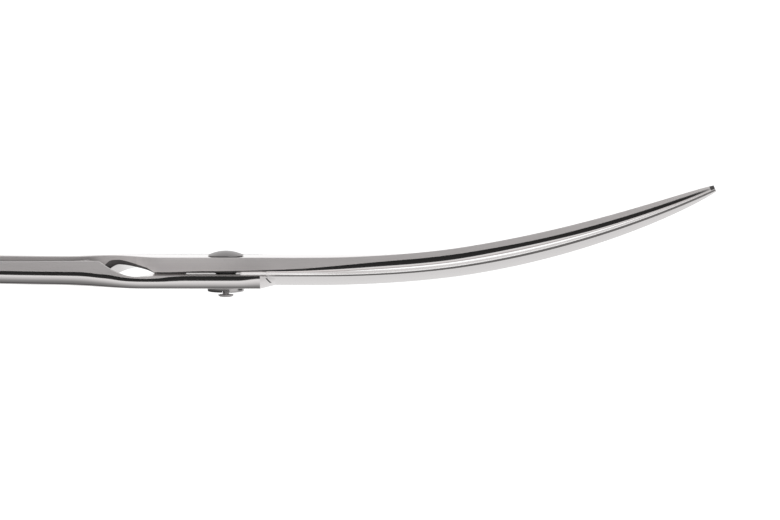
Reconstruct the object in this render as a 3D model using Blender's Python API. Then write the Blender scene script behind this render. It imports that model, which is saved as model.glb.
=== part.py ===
"""Curved grooming scissors, closed: two hollow-ground blades on a tension pivot, with bows, stop and finger rest.

Lengths below are in millimetres. The origin lies on the pivot axis, at the flat end of the lock screw.
+X runs to the tips, +Z to the domed head, and the blades curve up towards +Z.
"""

from math import cos, hypot, pi, radians, sin, sqrt

import bmesh
import bpy
from mathutils import Matrix, Vector

MM = 0.001

# Plan of one blade. The spine side is negative, the cutting edge and the shank's outer side positive.
TIP_X = 108.8
APEX_X = 110.5
HEEL_X = 7.8
HEEL_RUN = 3.2
BLOCK_END_X = -14.5
SHANK_START_X = -27.5
BLOCK_PLAN_END_X = -20.0
SHANK_ROOT_X = -35.0
SHANK_NECK_X = -62.0
SPINE_HALF_WIDTH = 4.0
EDGE_HALF_WIDTH = 5.6
BLOCK_HALF_WIDTH = 7.7
SHANK_MID_GAP = 1.1
SHANK_NECK_WIDTH = 5.4
SHANK_ROOT_WIDTH = 6.6

# Thickness of one blade, and how far its inner face lies from the mating plane.
BLADE_THICKNESS = 3.0
UPPER_BLOCK_THICKNESS = 3.37
LOWER_BLOCK_THICKNESS = 2.95
BLOCK_RUNOUT_X = 40.0
PIVOT_HALF_GAP = 0.2
BOW_SET = 0.22
BOW_START_X = 12.0
TAPER_START_X = 53.0
BLOCK_LEVEL_END_X = -18.0
SHANK_LEVEL_X = -38.0
UPPER_SHANK_THICKNESS = 3.1
LOWER_SHANK_THICKNESS = 2.5
SHANK_CROWN = 0.25
SHANK_ROOT_DEPTH = 3.1
SHANK_NECK_DEPTH = 2.6
SHANK_INNER_FALL = 0.7
HOOD_CROWN = 0.2
HOOD_START_X = -16.0
HOOD_END_X = -36.0

# Grinding.
HOLLOW_DEPTH = 0.35
HOLLOW_START_X = 11.0
HOLLOW_FULL_X = 28.0
INNER_LAND = 0.9
SPINE_FACET_HEIGHT = 1.3
SPINE_UNDERCUT = 0.3
BLOCK_UNDERCUT = 0.06
BLOCK_UNDERCUT_HEIGHT = 0.35
FACET_RUNOUT_START_X = 4.0
FACET_RUNOUT_X = 40.0
EDGE_FLAT = 0.06
EDGE_BEVEL_WIDTH = 0.02
EDGE_BEVEL_HEIGHT = 0.22
EDGE_HAIR = 0.01
FLAT_TOP_START_X = 20.0
FLAT_TOP_END_X = 41.0
SPINE_LAND = 1.2
RIDGE_MARGIN = 0.4
RIDGE_DROP = 0.04
BEVEL_SWELL = 0.08
SPINE_CHAMFER = 0.05
BLOCK_ROUNDING = 1.35
SHANK_ROUNDING = 2.4
SHANK_ROLL_HEIGHT = 0.8
SHANK_ROLL_WIDTH = 0.25
SHANK_TOP_ROLL = 0.15
SHANK_EDGE_CHAMFER = 0.25
ROUNDING_START_X = -18.0
ROUNDING_FULL_X = -32.0

# The most of a section's height and of its width that roundings may take.
FLANK_SHARE = 0.85
ROLL_SHARE = 0.45

# The flat facet under the rounded outer side of the shank: where it opens, and the height of its upper edge.
SHANK_FACET_START_X = -8.0
SHANK_FACET_FULL_X = -15.0
SHANK_FACET_HEIGHT = 0.82
SHANK_FACET_FALL_X = -22.0
SHANK_FACET_LOW_X = -34.0
SHANK_FACET_LOW_HEIGHT = -0.4
LEAST_FACET = 0.1

# The scoop behind the pivot, deeper towards the spine side, and the shoulder where the shank thickens.
SCOOP_START_X = -15.6
SCOOP_OUTER_DEPTH = 0.42
SCOOP_INNER_DEPTH = 1.5
SCOOP_CORNER_RUN = 1.4
SCOOP_BELLY = 0.6
SHOULDER_OUTER_X = -23.9
SHOULDER_INNER_X = -29.6
SHOULDER_HALF_RUN = 3.6

# Curve of the whole tool, seen edge-on.
BEND_START_X = 21.5
BEND_RISE = 18.63
BEND_LEAD_START_X = 12.0
BEND_LEAD_END_X = 54.0
BEND_LEAD_RISE = 0.18
HANDLE_BEND_START_X = -16.0
HANDLE_RISE = 0.9

# Bows.
BOW_X = -82.0
BOW_INNER_RADIUS = 11.2
BOW_WIRE_WIDTH = 4.1
BOW_WIRE_HEIGHT = 4.8
FINGER_INSERT_WALL = 1.0
INSERT_WRAP = radians(62)
CROTCH_FLARE = 1.6
CROTCH_RUN = 6.0
SEAM_INSET = 0.2

# Pivot stack, as heights above the mating plane, and radii.
RUNNING_CLEARANCE = 0.25
CUT_OVERRUN = 1.0
SEAT_GAP = 0.2
HEAD_RADIUS = 3.94
HEAD_GAP = 0.12
HEAD_HEIGHT = 1.08
HEAD_RIM = 0.16
HEAD_EDGE_BREAK = 0.08
BOLT_RADIUS = 1.45
KEY_SIDE = 3.3
KEY_DEPTH = 1.5
BUSH_RADIUS = 2.25
BUSH_RECESS = 0.35
BUSH_LENGTH = 1.9
BUSH_STAND = 0.1
NUT_RADIUS = 4.1
NUT_FLANGE_THICKNESS = 1.08
NUT_BOSS_RADIUS = 2.2
NUT_BOSS_HEIGHT = 0.9
NUT_SLOT_WIDTH = 1.65
NUT_SLOT_DEPTH = 0.6
NUT_EDGE_CHAMFER = 0.12
SPRING_RADIUS = 3.2
SPRING_THICKNESS = 0.25
SPRING_DISH = 0.2
STEM_RADIUS = 0.72
STEM_LENGTH = 3.4
TAPPED_DEPTH = 3.2
DRILL_POINT = 0.4
BOLT_END_INSET = 0.1
BOLT_END_BREAK = 0.12
CAP_RADIUS = 1.7
CAP_THICKNESS = 0.5
CAP_FLAT_RADIUS = 0.95
CAP_GAP = 0.55
CAP_EDGE_BREAK = 0.06

# Stop and finger rest.
BUMPER_X = -76.0
BUMPER_RADIUS = 2.3
BUMPER_ROUNDING = 0.8
BUMPER_STEM_RADIUS = 1.0
BUMPER_STEM_LENGTH = 2.6
REST_ANGLE = radians(152)
REST_LENGTH = 17.0
REST_CURL = radians(62)
REST_ROOT_RADIUS = 2.1
REST_TIP_RADIUS = 1.5
REST_COLLAR_LENGTH = 1.2
REST_EDGE_BREAK = 0.2
REST_STUD_RADIUS = 0.9
REST_STUD_LENGTH = 2.2

# How finely curves are drawn.
CIRCLE_STEPS = 40
BOW_STEPS = 48
WIRE_STEPS = 14
ROLL_STEPS = 4
ROUND_STEPS = 7
HOLLOW_SHARES = 4
SCOOP_STEPS = 19
BLADE_STEPS = 9
TIP_STEPS = 13
TIP_CUT_RUN = 0.9
DOME_STEPS = 8
CAP_STEPS = 5
SMALL_STEPS = 24
ARM_STEPS = 14
INSERT_STEPS = 10

# Worked out from the sizes above.
LOWER_FACE = PIVOT_HALF_GAP + LOWER_BLOCK_THICKNESS
UPPER_FACE = PIVOT_HALF_GAP + UPPER_BLOCK_THICKNESS
BOLT_BORE = BOLT_RADIUS + RUNNING_CLEARANCE
BUSH_BORE = BUSH_RADIUS + RUNNING_CLEARANCE
NUT_TOP = -(LOWER_FACE + RUNNING_CLEARANCE)
NUT_BOTTOM = NUT_TOP - NUT_FLANGE_THICKNESS
CAP_TOP = NUT_BOTTOM - CAP_GAP
CAP_BOTTOM = CAP_TOP - CAP_THICKNESS
MATING_HEIGHT = -CAP_BOTTOM
BOW_OUTER_RADIUS = BOW_INNER_RADIUS + BOW_WIRE_WIDTH
BOW_SIDE = BOW_OUTER_RADIUS + SHANK_MID_GAP
BOW_WIRE_CENTRE = BOW_INNER_RADIUS + BOW_WIRE_WIDTH / 2
BOW_SEAM_RADIUS = BOW_WIRE_CENTRE - SEAM_INSET
BLADE_START_X = HEEL_X + HEEL_RUN


def clamp(value, low=0.0, high=1.0):
    return max(low, min(high, value))


def ease(start, end, x):
    """0 before start and 1 after end, with a smooth rise between. End may lie before start along X."""
    s = clamp((x - start) / (end - start))
    return s * s * (3 - 2 * s)


def mix(a, b, share):
    return a + (b - a) * share


def spaced(start, end, count):
    return [mix(start, end, step / count) for step in range(count + 1)]


def bend_height(x):
    """Height of the mating plane's curve above its level at the pivot."""
    if x < HANDLE_BEND_START_X:
        return HANDLE_RISE * ((x - HANDLE_BEND_START_X) / (BOW_X - HANDLE_BEND_START_X)) ** 2
    lead = clamp((x - BEND_LEAD_START_X) / (BEND_LEAD_END_X - BEND_LEAD_START_X))
    height = BEND_LEAD_RISE * sin(pi * lead) ** 2
    if x > BEND_START_X:
        height += BEND_RISE * ((x - BEND_START_X) / (TIP_X - BEND_START_X)) ** 2
    return height


def bend_slope(x):
    step = 0.01
    return (bend_height(x + step) - bend_height(x - step)) / (2 * step)


def place(x, u, t, side):
    """World point, in metres, of a point given along the blade, across it and out from the mating plane.

    side is +1 for the upper blade and -1 for the lower one, its twin turned over about X.
    """
    slope = bend_slope(x)
    run = hypot(1, slope)
    return Vector(
        (
            (x - side * t * slope / run) * MM,
            side * u * MM,
            (MATING_HEIGHT + bend_height(x) + side * t / run) * MM,
        )
    )


def thickness_taper(x):
    if x <= TAPER_START_X:
        return 1.0
    return sqrt(1 - ((x - TAPER_START_X) / (APEX_X - TAPER_START_X)) ** 2)


def width_taper(x):
    if x <= BLADE_START_X:
        return 1.0
    return sqrt(1 - ((x - BLADE_START_X) / (APEX_X - BLADE_START_X)) ** 2)


def half_gap(x):
    bowed = mix(PIVOT_HALF_GAP, PIVOT_HALF_GAP + BOW_SET, ease(BOW_START_X, BLOCK_RUNOUT_X, x))
    return bowed * thickness_taper(x) ** 2 if x > 0 else PIVOT_HALF_GAP


def spine_side(x):
    """Across-blade place of the spine, which becomes the inner side of the shank behind the pivot."""
    if x > 0:
        return -SPINE_HALF_WIDTH * width_taper(x)
    return mix(-SPINE_HALF_WIDTH, SHANK_MID_GAP, ease(BLOCK_END_X, SHANK_START_X, x))


def edge_side(x):
    """Across-blade place of the cutting edge, or of the outer side of the block and the shank."""
    if x > HEEL_X:
        blade = EDGE_HALF_WIDTH * width_taper(x)
        return mix(BLOCK_HALF_WIDTH, blade, clamp((x - HEEL_X) / HEEL_RUN))
    neck = SHANK_MID_GAP + SHANK_NECK_WIDTH
    root = SHANK_MID_GAP + SHANK_ROOT_WIDTH
    shank = mix(root, neck, ease(SHANK_ROOT_X, SHANK_NECK_X, x))
    shank += CROTCH_FLARE * clamp((BOW_X + BOW_OUTER_RADIUS + CROTCH_RUN - x) / CROTCH_RUN) ** 2
    if x < BOW_X + BOW_SEAM_RADIUS:
        seam = BOW_SIDE - sqrt(BOW_SEAM_RADIUS**2 - max(x - BOW_X, 0) ** 2)
        shank = min(shank, seam)
    return mix(BLOCK_HALF_WIDTH, shank, ease(BLOCK_PLAN_END_X, SHANK_ROOT_X, x))


def inner_faces(x):
    """Distance from the mating plane to the inner face, at the outer side and at the spine side."""
    gap = half_gap(x)
    if x >= SCOOP_START_X:
        return gap, gap
    corner = clamp((SCOOP_START_X - x) / SCOOP_CORNER_RUN)
    depth = clamp((SCOOP_START_X - x) / (SCOOP_START_X - SHOULDER_OUTER_X))
    outer = gap + (SCOOP_OUTER_DEPTH - gap) * sin(pi / 2 * depth) ** SCOOP_BELLY
    inner = mix(gap, SCOOP_INNER_DEPTH, (corner + depth) / 2)
    run = SHOULDER_HALF_RUN
    shank = -mix(SHANK_ROOT_DEPTH, SHANK_NECK_DEPTH, ease(SHANK_START_X, SHANK_NECK_X, x))
    spine_side_shank = shank + SHANK_INNER_FALL * ease(SHANK_START_X, SHANK_LEVEL_X, x)
    outer = mix(outer, shank, ease(SHOULDER_OUTER_X + run, SHOULDER_OUTER_X - run, x))
    inner = mix(inner, spine_side_shank, ease(SHOULDER_INNER_X + run, SHOULDER_INNER_X - run, x))
    return outer, inner


def outer_face(x, side):
    """Distance from the mating plane to the outer face along the spine."""
    block = UPPER_BLOCK_THICKNESS if side > 0 else LOWER_BLOCK_THICKNESS
    if x > 0:
        stack = PIVOT_HALF_GAP + mix(block, BOW_SET + BLADE_THICKNESS, ease(0, BLOCK_RUNOUT_X, x))
        return stack * thickness_taper(x)
    shank = UPPER_SHANK_THICKNESS if side > 0 else LOWER_SHANK_THICKNESS
    return mix(PIVOT_HALF_GAP + block, shank, ease(BLOCK_LEVEL_END_X, SHANK_LEVEL_X, x))


def spine_points(x, side, low, high):
    """The spine side, from the inner face to the outer one: a rolled undercut, then a flat facet."""
    u = spine_side(x)
    height = high - low
    if x > 0:
        run_out = ease(FACET_RUNOUT_START_X, FACET_RUNOUT_X, x)
        facet = mix(height - BLOCK_UNDERCUT_HEIGHT, SPINE_FACET_HEIGHT * thickness_taper(x), run_out)
        roll_height = height - facet
        roll_width = mix(BLOCK_UNDERCUT, SPINE_UNDERCUT * width_taper(x), run_out)
        top = SPINE_CHAMFER * width_taper(x)
    else:
        shank = ease(ROUNDING_START_X, SHOULDER_INNER_X, x)
        roll_height = mix(BLOCK_UNDERCUT_HEIGHT, SHANK_ROLL_HEIGHT, shank)
        roll_width = mix(BLOCK_UNDERCUT, SHANK_ROLL_WIDTH, shank)
        top = mix(SPINE_CHAMFER, SHANK_TOP_ROLL, shank)
        hood = clamp((x - HOOD_START_X) / (HOOD_END_X - HOOD_START_X))
        high += SHANK_CROWN * ease(BLOCK_LEVEL_END_X, SHANK_LEVEL_X, x) + HOOD_CROWN * sin(pi * hood) ** 2
        room = ROLL_SHARE * (edge_side(x) - u)
        share = min(1, FLANK_SHARE * height / (roll_height + top), room / top)
        roll_height *= share
        roll_width *= share
        top *= share
    points = []
    for angle in spaced(0, pi / 2, ROLL_STEPS):
        points.append((u + roll_width * (1 - sin(angle)), low + roll_height * (1 - cos(angle))))
    for angle in spaced(0, pi / 2, 2):
        points.append((u + top * (1 - cos(angle)), high - top * (1 - sin(angle))))
    return points


def edge_points(x, low, high):
    """The other side, from the outer face back to the inner one: rounded on the shank, a bevel on the blade."""
    u = edge_side(x)
    shank = ease(ROUNDING_START_X, ROUNDING_FULL_X, x)
    rounding = min(mix(BLOCK_ROUNDING, SHANK_ROUNDING, shank), ROLL_SHARE * (u - spine_side(x)))
    facet = mix(SHANK_FACET_HEIGHT, SHANK_FACET_LOW_HEIGHT, ease(SHANK_FACET_FALL_X, SHANK_FACET_LOW_X, x))
    facet = mix(low, facet, ease(SHANK_FACET_START_X, SHANK_FACET_FULL_X, x))
    facet = max(facet, low + LEAST_FACET)
    ledge = min(SHANK_EDGE_CHAMFER, (facet - low) / 2)
    round_points = []
    for angle in spaced(0, pi / 2, ROUND_STEPS):
        round_points.append((u - rounding * (1 - sin(angle)), facet + (high - facet) * cos(angle)))
    round_points.append((u, low + ledge))
    round_points.append((u - ledge, low))
    return round_points


def bevel_points(x, side, low, high):
    """The blade's outer side: a ridge, the long bevel down to the edge, and the polished edge bevel."""
    u = edge_side(x)
    taper = width_taper(x)
    spine = spine_side(x)
    wedge = ease(FLAT_TOP_START_X, FLAT_TOP_END_X, x) if side > 0 else 1.0
    bevel_u = u - EDGE_BEVEL_WIDTH * taper
    bevel_t = low + (EDGE_FLAT + EDGE_BEVEL_HEIGHT) * taper
    ridge_u = mix(bevel_u - RIDGE_MARGIN, spine + SPINE_LAND * taper, wedge)
    ridge_t = high - RIDGE_DROP * taper
    points = []
    for share in spaced(0, 1, ROUND_STEPS):
        swell = BEVEL_SWELL * taper * sin(pi * share)
        points.append((mix(ridge_u, bevel_u, share), mix(ridge_t, bevel_t, share) + swell))
    points.append((u, low + EDGE_FLAT * taper))
    points.append((u - EDGE_HAIR, low))
    return points


def inner_points(x, outer_u, outer_t, inner_u, inner_t):
    """The inner face between its two ends, hollow-ground between two flat lands on the blade."""
    width = outer_u - inner_u
    land = min(INNER_LAND * width_taper(x) / width, 1 / 3)
    depth = HOLLOW_DEPTH * width_taper(x) * ease(HOLLOW_START_X, HOLLOW_FULL_X, x)
    points = []
    for across in spaced(0, 1, HOLLOW_SHARES):
        share = mix(land, 1 - land, across)
        hollow = depth * (1 - (2 * across - 1) ** 2)
        points.append((mix(outer_u, inner_u, share), mix(outer_t, inner_t, share) + hollow))
    return points


def section(x, side):
    """One closed outline across the blade, as (across, out) pairs, always with the same number of points."""
    outer_t, inner_t = inner_faces(x)
    high = outer_face(x, side)
    spine = spine_points(x, side, inner_t, high)
    if x > HEEL_X:
        edge = bevel_points(x, side, outer_t, high)
    else:
        edge = edge_points(x, outer_t, high)
    inner = inner_points(x, edge[-1][0], edge[-1][1], spine[0][0], spine[0][1])
    return inner + spine + edge


def stations():
    """Places along the blade where an outline is drawn, closer together where the form changes faster."""
    crotch = BOW_X + BOW_OUTER_RADIUS + CROTCH_RUN
    xs = [BOW_X - BOW_WIRE_CENTRE / 4]
    xs += spaced(BOW_X, crotch, 6)
    xs += spaced(crotch, SHANK_FACET_LOW_X, 5)
    xs += spaced(SHANK_FACET_LOW_X, SCOOP_START_X, SCOOP_STEPS)
    xs += spaced(BLOCK_END_X, 0, 4)
    xs += spaced(0, HEEL_X, 2)
    xs += spaced(BLADE_START_X, TAPER_START_X, BLADE_STEPS)
    run = TIP_X - TIP_CUT_RUN - TAPER_START_X
    xs += [TAPER_START_X + run * sin(angle) for angle in spaced(0, pi / 2, TIP_STEPS)]
    xs.append(TIP_X)
    return sorted(set(xs))


def new_object(name, mesh_builder):
    mesh = bpy.data.meshes.new(name)
    bm = bmesh.new()
    mesh_builder(bm)
    bmesh.ops.recalc_face_normals(bm, faces=bm.faces)
    bm.to_mesh(mesh)
    bm.free()
    obj = bpy.data.objects.new(name, mesh)
    bpy.context.scene.collection.objects.link(obj)
    mesh.shade_smooth()
    mesh.set_sharp_from_angle(angle=radians(32))
    return obj


def loft(bm, outlines):
    """Skin closed outlines of equal point counts, and cap both ends."""
    rings = [[bm.verts.new(point) for point in outline] for outline in outlines]
    count = len(rings[0])
    for near, far in zip(rings, rings[1:]):
        for index in range(count):
            following = (index + 1) % count
            bm.faces.new((near[index], near[following], far[following], far[index]))
    bm.faces.new(rings[0])
    bm.faces.new(rings[-1])


def turned(name, profile, location, rotation=None, steps=CIRCLE_STEPS):
    """A body turned about local Z from (radius, height) pairs in millimetres, with its origin on the axis."""

    def build(bm):
        rings = []
        for radius, height in profile:
            if radius < 1e-6:
                rings.append([bm.verts.new((0, 0, height * MM))])
                continue
            ring = []
            for step in range(steps):
                angle = 2 * pi * step / steps
                ring.append(bm.verts.new((radius * cos(angle) * MM, radius * sin(angle) * MM, height * MM)))
            rings.append(ring)
        pairs = list(zip(rings, rings[1:]))
        if profile[0][0] > 1e-6 and profile[-1][0] > 1e-6:
            pairs.append((rings[-1], rings[0]))
        for near, far in pairs:
            for index in range(steps):
                following = (index + 1) % steps
                corners = [
                    near[index % len(near)],
                    near[following % len(near)],
                    far[following % len(far)],
                    far[index % len(far)],
                ]
                bm.faces.new(list(dict.fromkeys(corners)))

    obj = new_object(name, build)
    obj.location = location
    if rotation is not None:
        obj.rotation_euler = rotation
    return obj


def cutter(obj):
    obj.hide_render = True
    obj.display_type = "WIRE"
    obj.hide_set(True)
    return obj


def combine(obj, other, operation):
    """Boolean with the EXACT solver, kept on the object as a modifier."""
    modifier = obj.modifiers.new(other.name, "BOOLEAN")
    modifier.operation = operation
    modifier.solver = "EXACT"
    modifier.object = cutter(other)


def bore(obj, name, steps, location=None, rotation=None):
    """Cut a stepped round hole, given as (radius, low, high) stages from the bottom up that share their ends."""
    if location is None:
        location = (0, 0, MATING_HEIGHT * MM)
    profile = [(0, steps[-1][2])]
    for radius, low, high in reversed(steps):
        profile += [(radius, high), (radius, low)]
    profile.append((0, steps[0][1]))
    combine(obj, turned(name, profile, location, rotation), "DIFFERENCE")


def material(obj, name, colour, roughness, metallic):
    found = bpy.data.materials.get(name)
    if found is None:
        found = bpy.data.materials.new(name)
        found.use_nodes = True
        shader = found.node_tree.nodes["Principled BSDF"]
        shader.inputs["Base Color"].default_value = (*colour, 1)
        shader.inputs["Roughness"].default_value = roughness
        shader.inputs["Metallic"].default_value = metallic
    obj.data.materials.append(found)


def bow_frame(side):
    """Centre of a bow, and the tilt that it shares with the curve of the shank there."""
    centre = place(BOW_X, BOW_SIDE, 0, side)
    tilt = Matrix.Rotation(-bend_slope(BOW_X), 4, "Y")
    return Matrix.Translation(centre) @ tilt


def bow_ring(name, side, outline, steps=BOW_STEPS):
    """A closed ring swept round a bow's centre, from (radius, height) pairs in millimetres."""
    frame = bow_frame(side)

    def build(bm):
        rings = []
        for step in range(steps):
            angle = 2 * pi * step / steps
            ring = []
            for radius, height in outline:
                local = Vector((radius * cos(angle), radius * sin(angle), height)) * MM
                ring.append(bm.verts.new(frame @ local))
            rings.append(ring)
        count = len(outline)
        for number in range(steps):
            near = rings[number]
            far = rings[(number + 1) % steps]
            for index in range(count):
                following = (index + 1) % count
                bm.faces.new((near[index], near[following], far[following], far[index]))

    return new_object(name, build)


def wire_outline():
    """The bow's section: an oval, flatter where the finger lies."""
    points = []
    for step in range(WIRE_STEPS):
        angle = 2 * pi * step / WIRE_STEPS
        radius = BOW_WIRE_CENTRE + BOW_WIRE_WIDTH / 2 * cos(angle)
        points.append((radius, BOW_WIRE_HEIGHT / 2 * sin(angle)))
    return points


def insert_outline():
    """The sizing ring's section: a band that wraps the inner half of the bow's oval."""
    outer = SEAT_GAP
    inner = SEAT_GAP + FINGER_INSERT_WALL
    points = []
    for angle in spaced(pi - INSERT_WRAP, pi + INSERT_WRAP, INSERT_STEPS):
        radius = BOW_WIRE_CENTRE + (BOW_WIRE_WIDTH / 2 + outer) * cos(angle)
        points.append((radius, (BOW_WIRE_HEIGHT / 2 + outer) * sin(angle)))
    for angle in spaced(pi + INSERT_WRAP, pi - INSERT_WRAP, INSERT_STEPS):
        radius = BOW_WIRE_CENTRE + (BOW_WIRE_WIDTH / 2 + inner) * cos(angle)
        points.append((radius, (BOW_WIRE_HEIGHT / 2 + inner) * sin(angle)))
    return points


def blade(name, side):
    """Blade, block and shank lofted in one, with the bow joined on."""

    def build(bm):
        outlines = []
        for x in stations():
            outlines.append([place(x, u, t, side) for u, t in section(x, side)])
        loft(bm, outlines)

    obj = new_object(name, build)
    combine(obj, bow_ring(name + "_bow", side, wire_outline()), "UNION")
    return obj


def upper_blade():
    obj = blade("upper_blade", 1)
    top = UPPER_FACE + CUT_OVERRUN
    floor = UPPER_FACE - KEY_DEPTH - RUNNING_CLEARANCE
    side = (KEY_SIDE + 2 * RUNNING_CLEARANCE) * MM

    def pocket(bm):
        middle = (floor + top) / 2
        centre = Matrix.Translation((0, 0, (MATING_HEIGHT + middle) * MM))
        size = Matrix.Diagonal((side, side, (top - floor) * MM, 1))
        bmesh.ops.create_cube(bm, size=1, matrix=centre @ size)

    combine(obj, new_object("key_pocket", pocket), "DIFFERENCE")
    recess = PIVOT_HALF_GAP + BUSH_RECESS
    bore(obj, "bolt_bore", [(BUSH_BORE, -CUT_OVERRUN, recess), (BOLT_BORE, recess, top)])
    stem = [(BUMPER_STEM_RADIUS + SEAT_GAP, -BUMPER_STEM_LENGTH - SEAT_GAP, CUT_OVERRUN)]
    bore(obj, "bumper_bore", stem, place(BUMPER_X, SHANK_MID_GAP, 0, 1), (radians(90), 0, 0))
    seat = rest_seat()
    stud = [(REST_STUD_RADIUS + SEAT_GAP, -REST_STUD_LENGTH - SEAT_GAP, CUT_OVERRUN)]
    bore(obj, "rest_bore", stud, seat.translation, seat.to_euler())
    material(obj, "forged_steel", (0.62, 0.61, 0.60), 0.28, 1.0)


def lower_blade():
    obj = blade("lower_blade", -1)
    ceiling = NUT_TOP + NUT_BOSS_HEIGHT + SEAT_GAP
    seat = SPRING_RADIUS + RUNNING_CLEARANCE
    bore(obj, "bush_bore", [(seat, -LOWER_FACE - CUT_OVERRUN, ceiling), (BUSH_BORE, ceiling, CUT_OVERRUN)])
    material(obj, "forged_steel", (0.62, 0.61, 0.60), 0.28, 1.0)


def pivot_bolt():
    """Low domed head, square key under it, round shank with a tapped end."""
    seat = UPPER_FACE + HEAD_GAP
    ball = (HEAD_RADIUS**2 + (HEAD_HEIGHT - HEAD_RIM) ** 2) / (2 * (HEAD_HEIGHT - HEAD_RIM))
    crown = seat + HEAD_HEIGHT
    profile = [(0, crown)]
    for radius in spaced(0, HEAD_RADIUS, DOME_STEPS)[1:]:
        profile.append((radius, crown - ball + sqrt(ball**2 - radius**2)))
    end = NUT_TOP + BOLT_END_INSET
    tapped = STEM_RADIUS + SEAT_GAP
    edge = HEAD_EDGE_BREAK
    profile += [(HEAD_RADIUS, seat + edge), (HEAD_RADIUS - edge, seat), (BOLT_RADIUS, seat)]
    profile += [(BOLT_RADIUS, end + BOLT_END_BREAK), (BOLT_RADIUS - BOLT_END_BREAK, end), (tapped, end)]
    profile += [(tapped, end + TAPPED_DEPTH), (0, end + TAPPED_DEPTH + DRILL_POINT)]
    obj = turned("pivot_bolt", profile, (0, 0, MATING_HEIGHT * MM))

    def key(bm):
        low = UPPER_FACE - KEY_DEPTH
        high = seat + HEAD_RIM
        middle = (low + high) / 2
        size = Matrix.Diagonal((KEY_SIDE * MM, KEY_SIDE * MM, (high - low) * MM, 1))
        centre = Matrix.Translation((0, 0, (MATING_HEIGHT + middle) * MM))
        bmesh.ops.create_cube(bm, size=1, matrix=centre @ size)

    combine(obj, new_object("square_key", key), "UNION")
    material(obj, "bolt_steel", (0.50, 0.50, 0.51), 0.3, 1.0)


def pivot_bush():
    top = PIVOT_HALF_GAP + BUSH_STAND
    low = top - BUSH_LENGTH
    bore = BOLT_BORE
    profile = [(BUSH_RADIUS, top), (BUSH_RADIUS, low), (bore, low), (bore, top)]
    obj = turned("pivot_bush", profile, (0, 0, MATING_HEIGHT * MM))
    material(obj, "black_acetal", (0.02, 0.02, 0.02), 0.4, 0.0)


def spring_washer():
    """A dished washer round the nut's boss, in the lower blade's counterbore."""
    bore = NUT_BOSS_RADIUS + SEAT_GAP
    outer = NUT_TOP + SEAT_GAP
    inner = outer + SPRING_DISH
    profile = [
        (SPRING_RADIUS, outer + SPRING_THICKNESS),
        (SPRING_RADIUS, outer),
        (bore, inner),
        (bore, inner + SPRING_THICKNESS),
    ]
    obj = turned("spring_washer", profile, (0, 0, MATING_HEIGHT * MM))
    material(obj, "spring_steel", (0.45, 0.43, 0.40), 0.35, 1.0)


def tension_nut():
    """Round flange with a screwdriver slot across it, and a threaded boss inside the lower blade."""
    bore = BOLT_BORE
    edge = NUT_EDGE_CHAMFER
    profile = [
        (NUT_BOSS_RADIUS, NUT_TOP + NUT_BOSS_HEIGHT),
        (NUT_BOSS_RADIUS, NUT_TOP),
        (NUT_RADIUS - edge, NUT_TOP),
        (NUT_RADIUS, NUT_TOP - edge),
        (NUT_RADIUS, NUT_BOTTOM + 2 * edge),
        (NUT_RADIUS - 2 * edge, NUT_BOTTOM),
        (bore, NUT_BOTTOM),
        (bore, NUT_TOP + NUT_BOSS_HEIGHT),
    ]
    obj = turned("tension_nut", profile, (0, 0, MATING_HEIGHT * MM))

    def slot(bm):
        low = NUT_BOTTOM - CUT_OVERRUN
        high = NUT_BOTTOM + NUT_SLOT_DEPTH
        length = 2 * (NUT_RADIUS + CUT_OVERRUN)
        size = Matrix.Diagonal((NUT_SLOT_WIDTH * MM, length * MM, (high - low) * MM, 1))
        centre = Matrix.Translation((0, 0, (MATING_HEIGHT + (low + high) / 2) * MM))
        bmesh.ops.create_cube(bm, size=1, matrix=centre @ size)

    combine(obj, new_object("nut_slot", slot), "DIFFERENCE")
    material(obj, "nut_steel", (0.42, 0.42, 0.43), 0.3, 1.0)


def lock_screw():
    """Thin stem in the bolt's tapped end, and a thin domed cap that keeps the nut from coming off."""
    profile = [(0, CAP_TOP + STEM_LENGTH), (STEM_RADIUS, CAP_TOP + STEM_LENGTH), (STEM_RADIUS, CAP_TOP)]
    rim = CAP_TOP - CAP_EDGE_BREAK
    profile += [(CAP_RADIUS - CAP_EDGE_BREAK, CAP_TOP), (CAP_RADIUS, rim)]
    for angle in spaced(0, pi / 2, CAP_STEPS)[1:]:
        radius = CAP_FLAT_RADIUS + (CAP_RADIUS - CAP_FLAT_RADIUS) * cos(angle)
        profile.append((radius, mix(rim, CAP_BOTTOM, sin(angle))))
    profile.append((0, CAP_BOTTOM))
    obj = turned("lock_screw", profile, (0, 0, MATING_HEIGHT * MM))
    material(obj, "screw_steel", (0.40, 0.40, 0.41), 0.3, 1.0)


def bumper():
    """A soft button on the finger bow's inner side, with its stem in the bow."""
    seat = SEAT_GAP
    face = 2 * SHANK_MID_GAP - SEAT_GAP
    profile = [(0, face)]
    for angle in spaced(0, pi / 2, CAP_STEPS):
        radius = BUMPER_RADIUS - BUMPER_ROUNDING * (1 - sin(angle))
        profile.append((radius, face - BUMPER_ROUNDING * (1 - cos(angle))))
    profile += [(BUMPER_RADIUS, seat), (BUMPER_STEM_RADIUS, seat)]
    profile += [(BUMPER_STEM_RADIUS, -BUMPER_STEM_LENGTH), (0, -BUMPER_STEM_LENGTH)]
    turn = (radians(90), 0, 0)
    obj = turned("bumper", profile, place(BUMPER_X, SHANK_MID_GAP, 0, 1), turn, steps=SMALL_STEPS)
    material(obj, "black_rubber", (0.03, 0.03, 0.03), 0.6, 0.0)


def rest_seat():
    """Frame on the finger bow's outer side: Z leaves the bow along the finger rest's stud."""
    outward = Vector((cos(REST_ANGLE), sin(REST_ANGLE), 0))
    up = Vector((0, 0, 1))
    turn = Matrix((up, outward.cross(up), outward)).transposed().to_4x4()
    return bow_frame(1) @ Matrix.Translation(outward * BOW_OUTER_RADIUS * MM) @ turn


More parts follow.
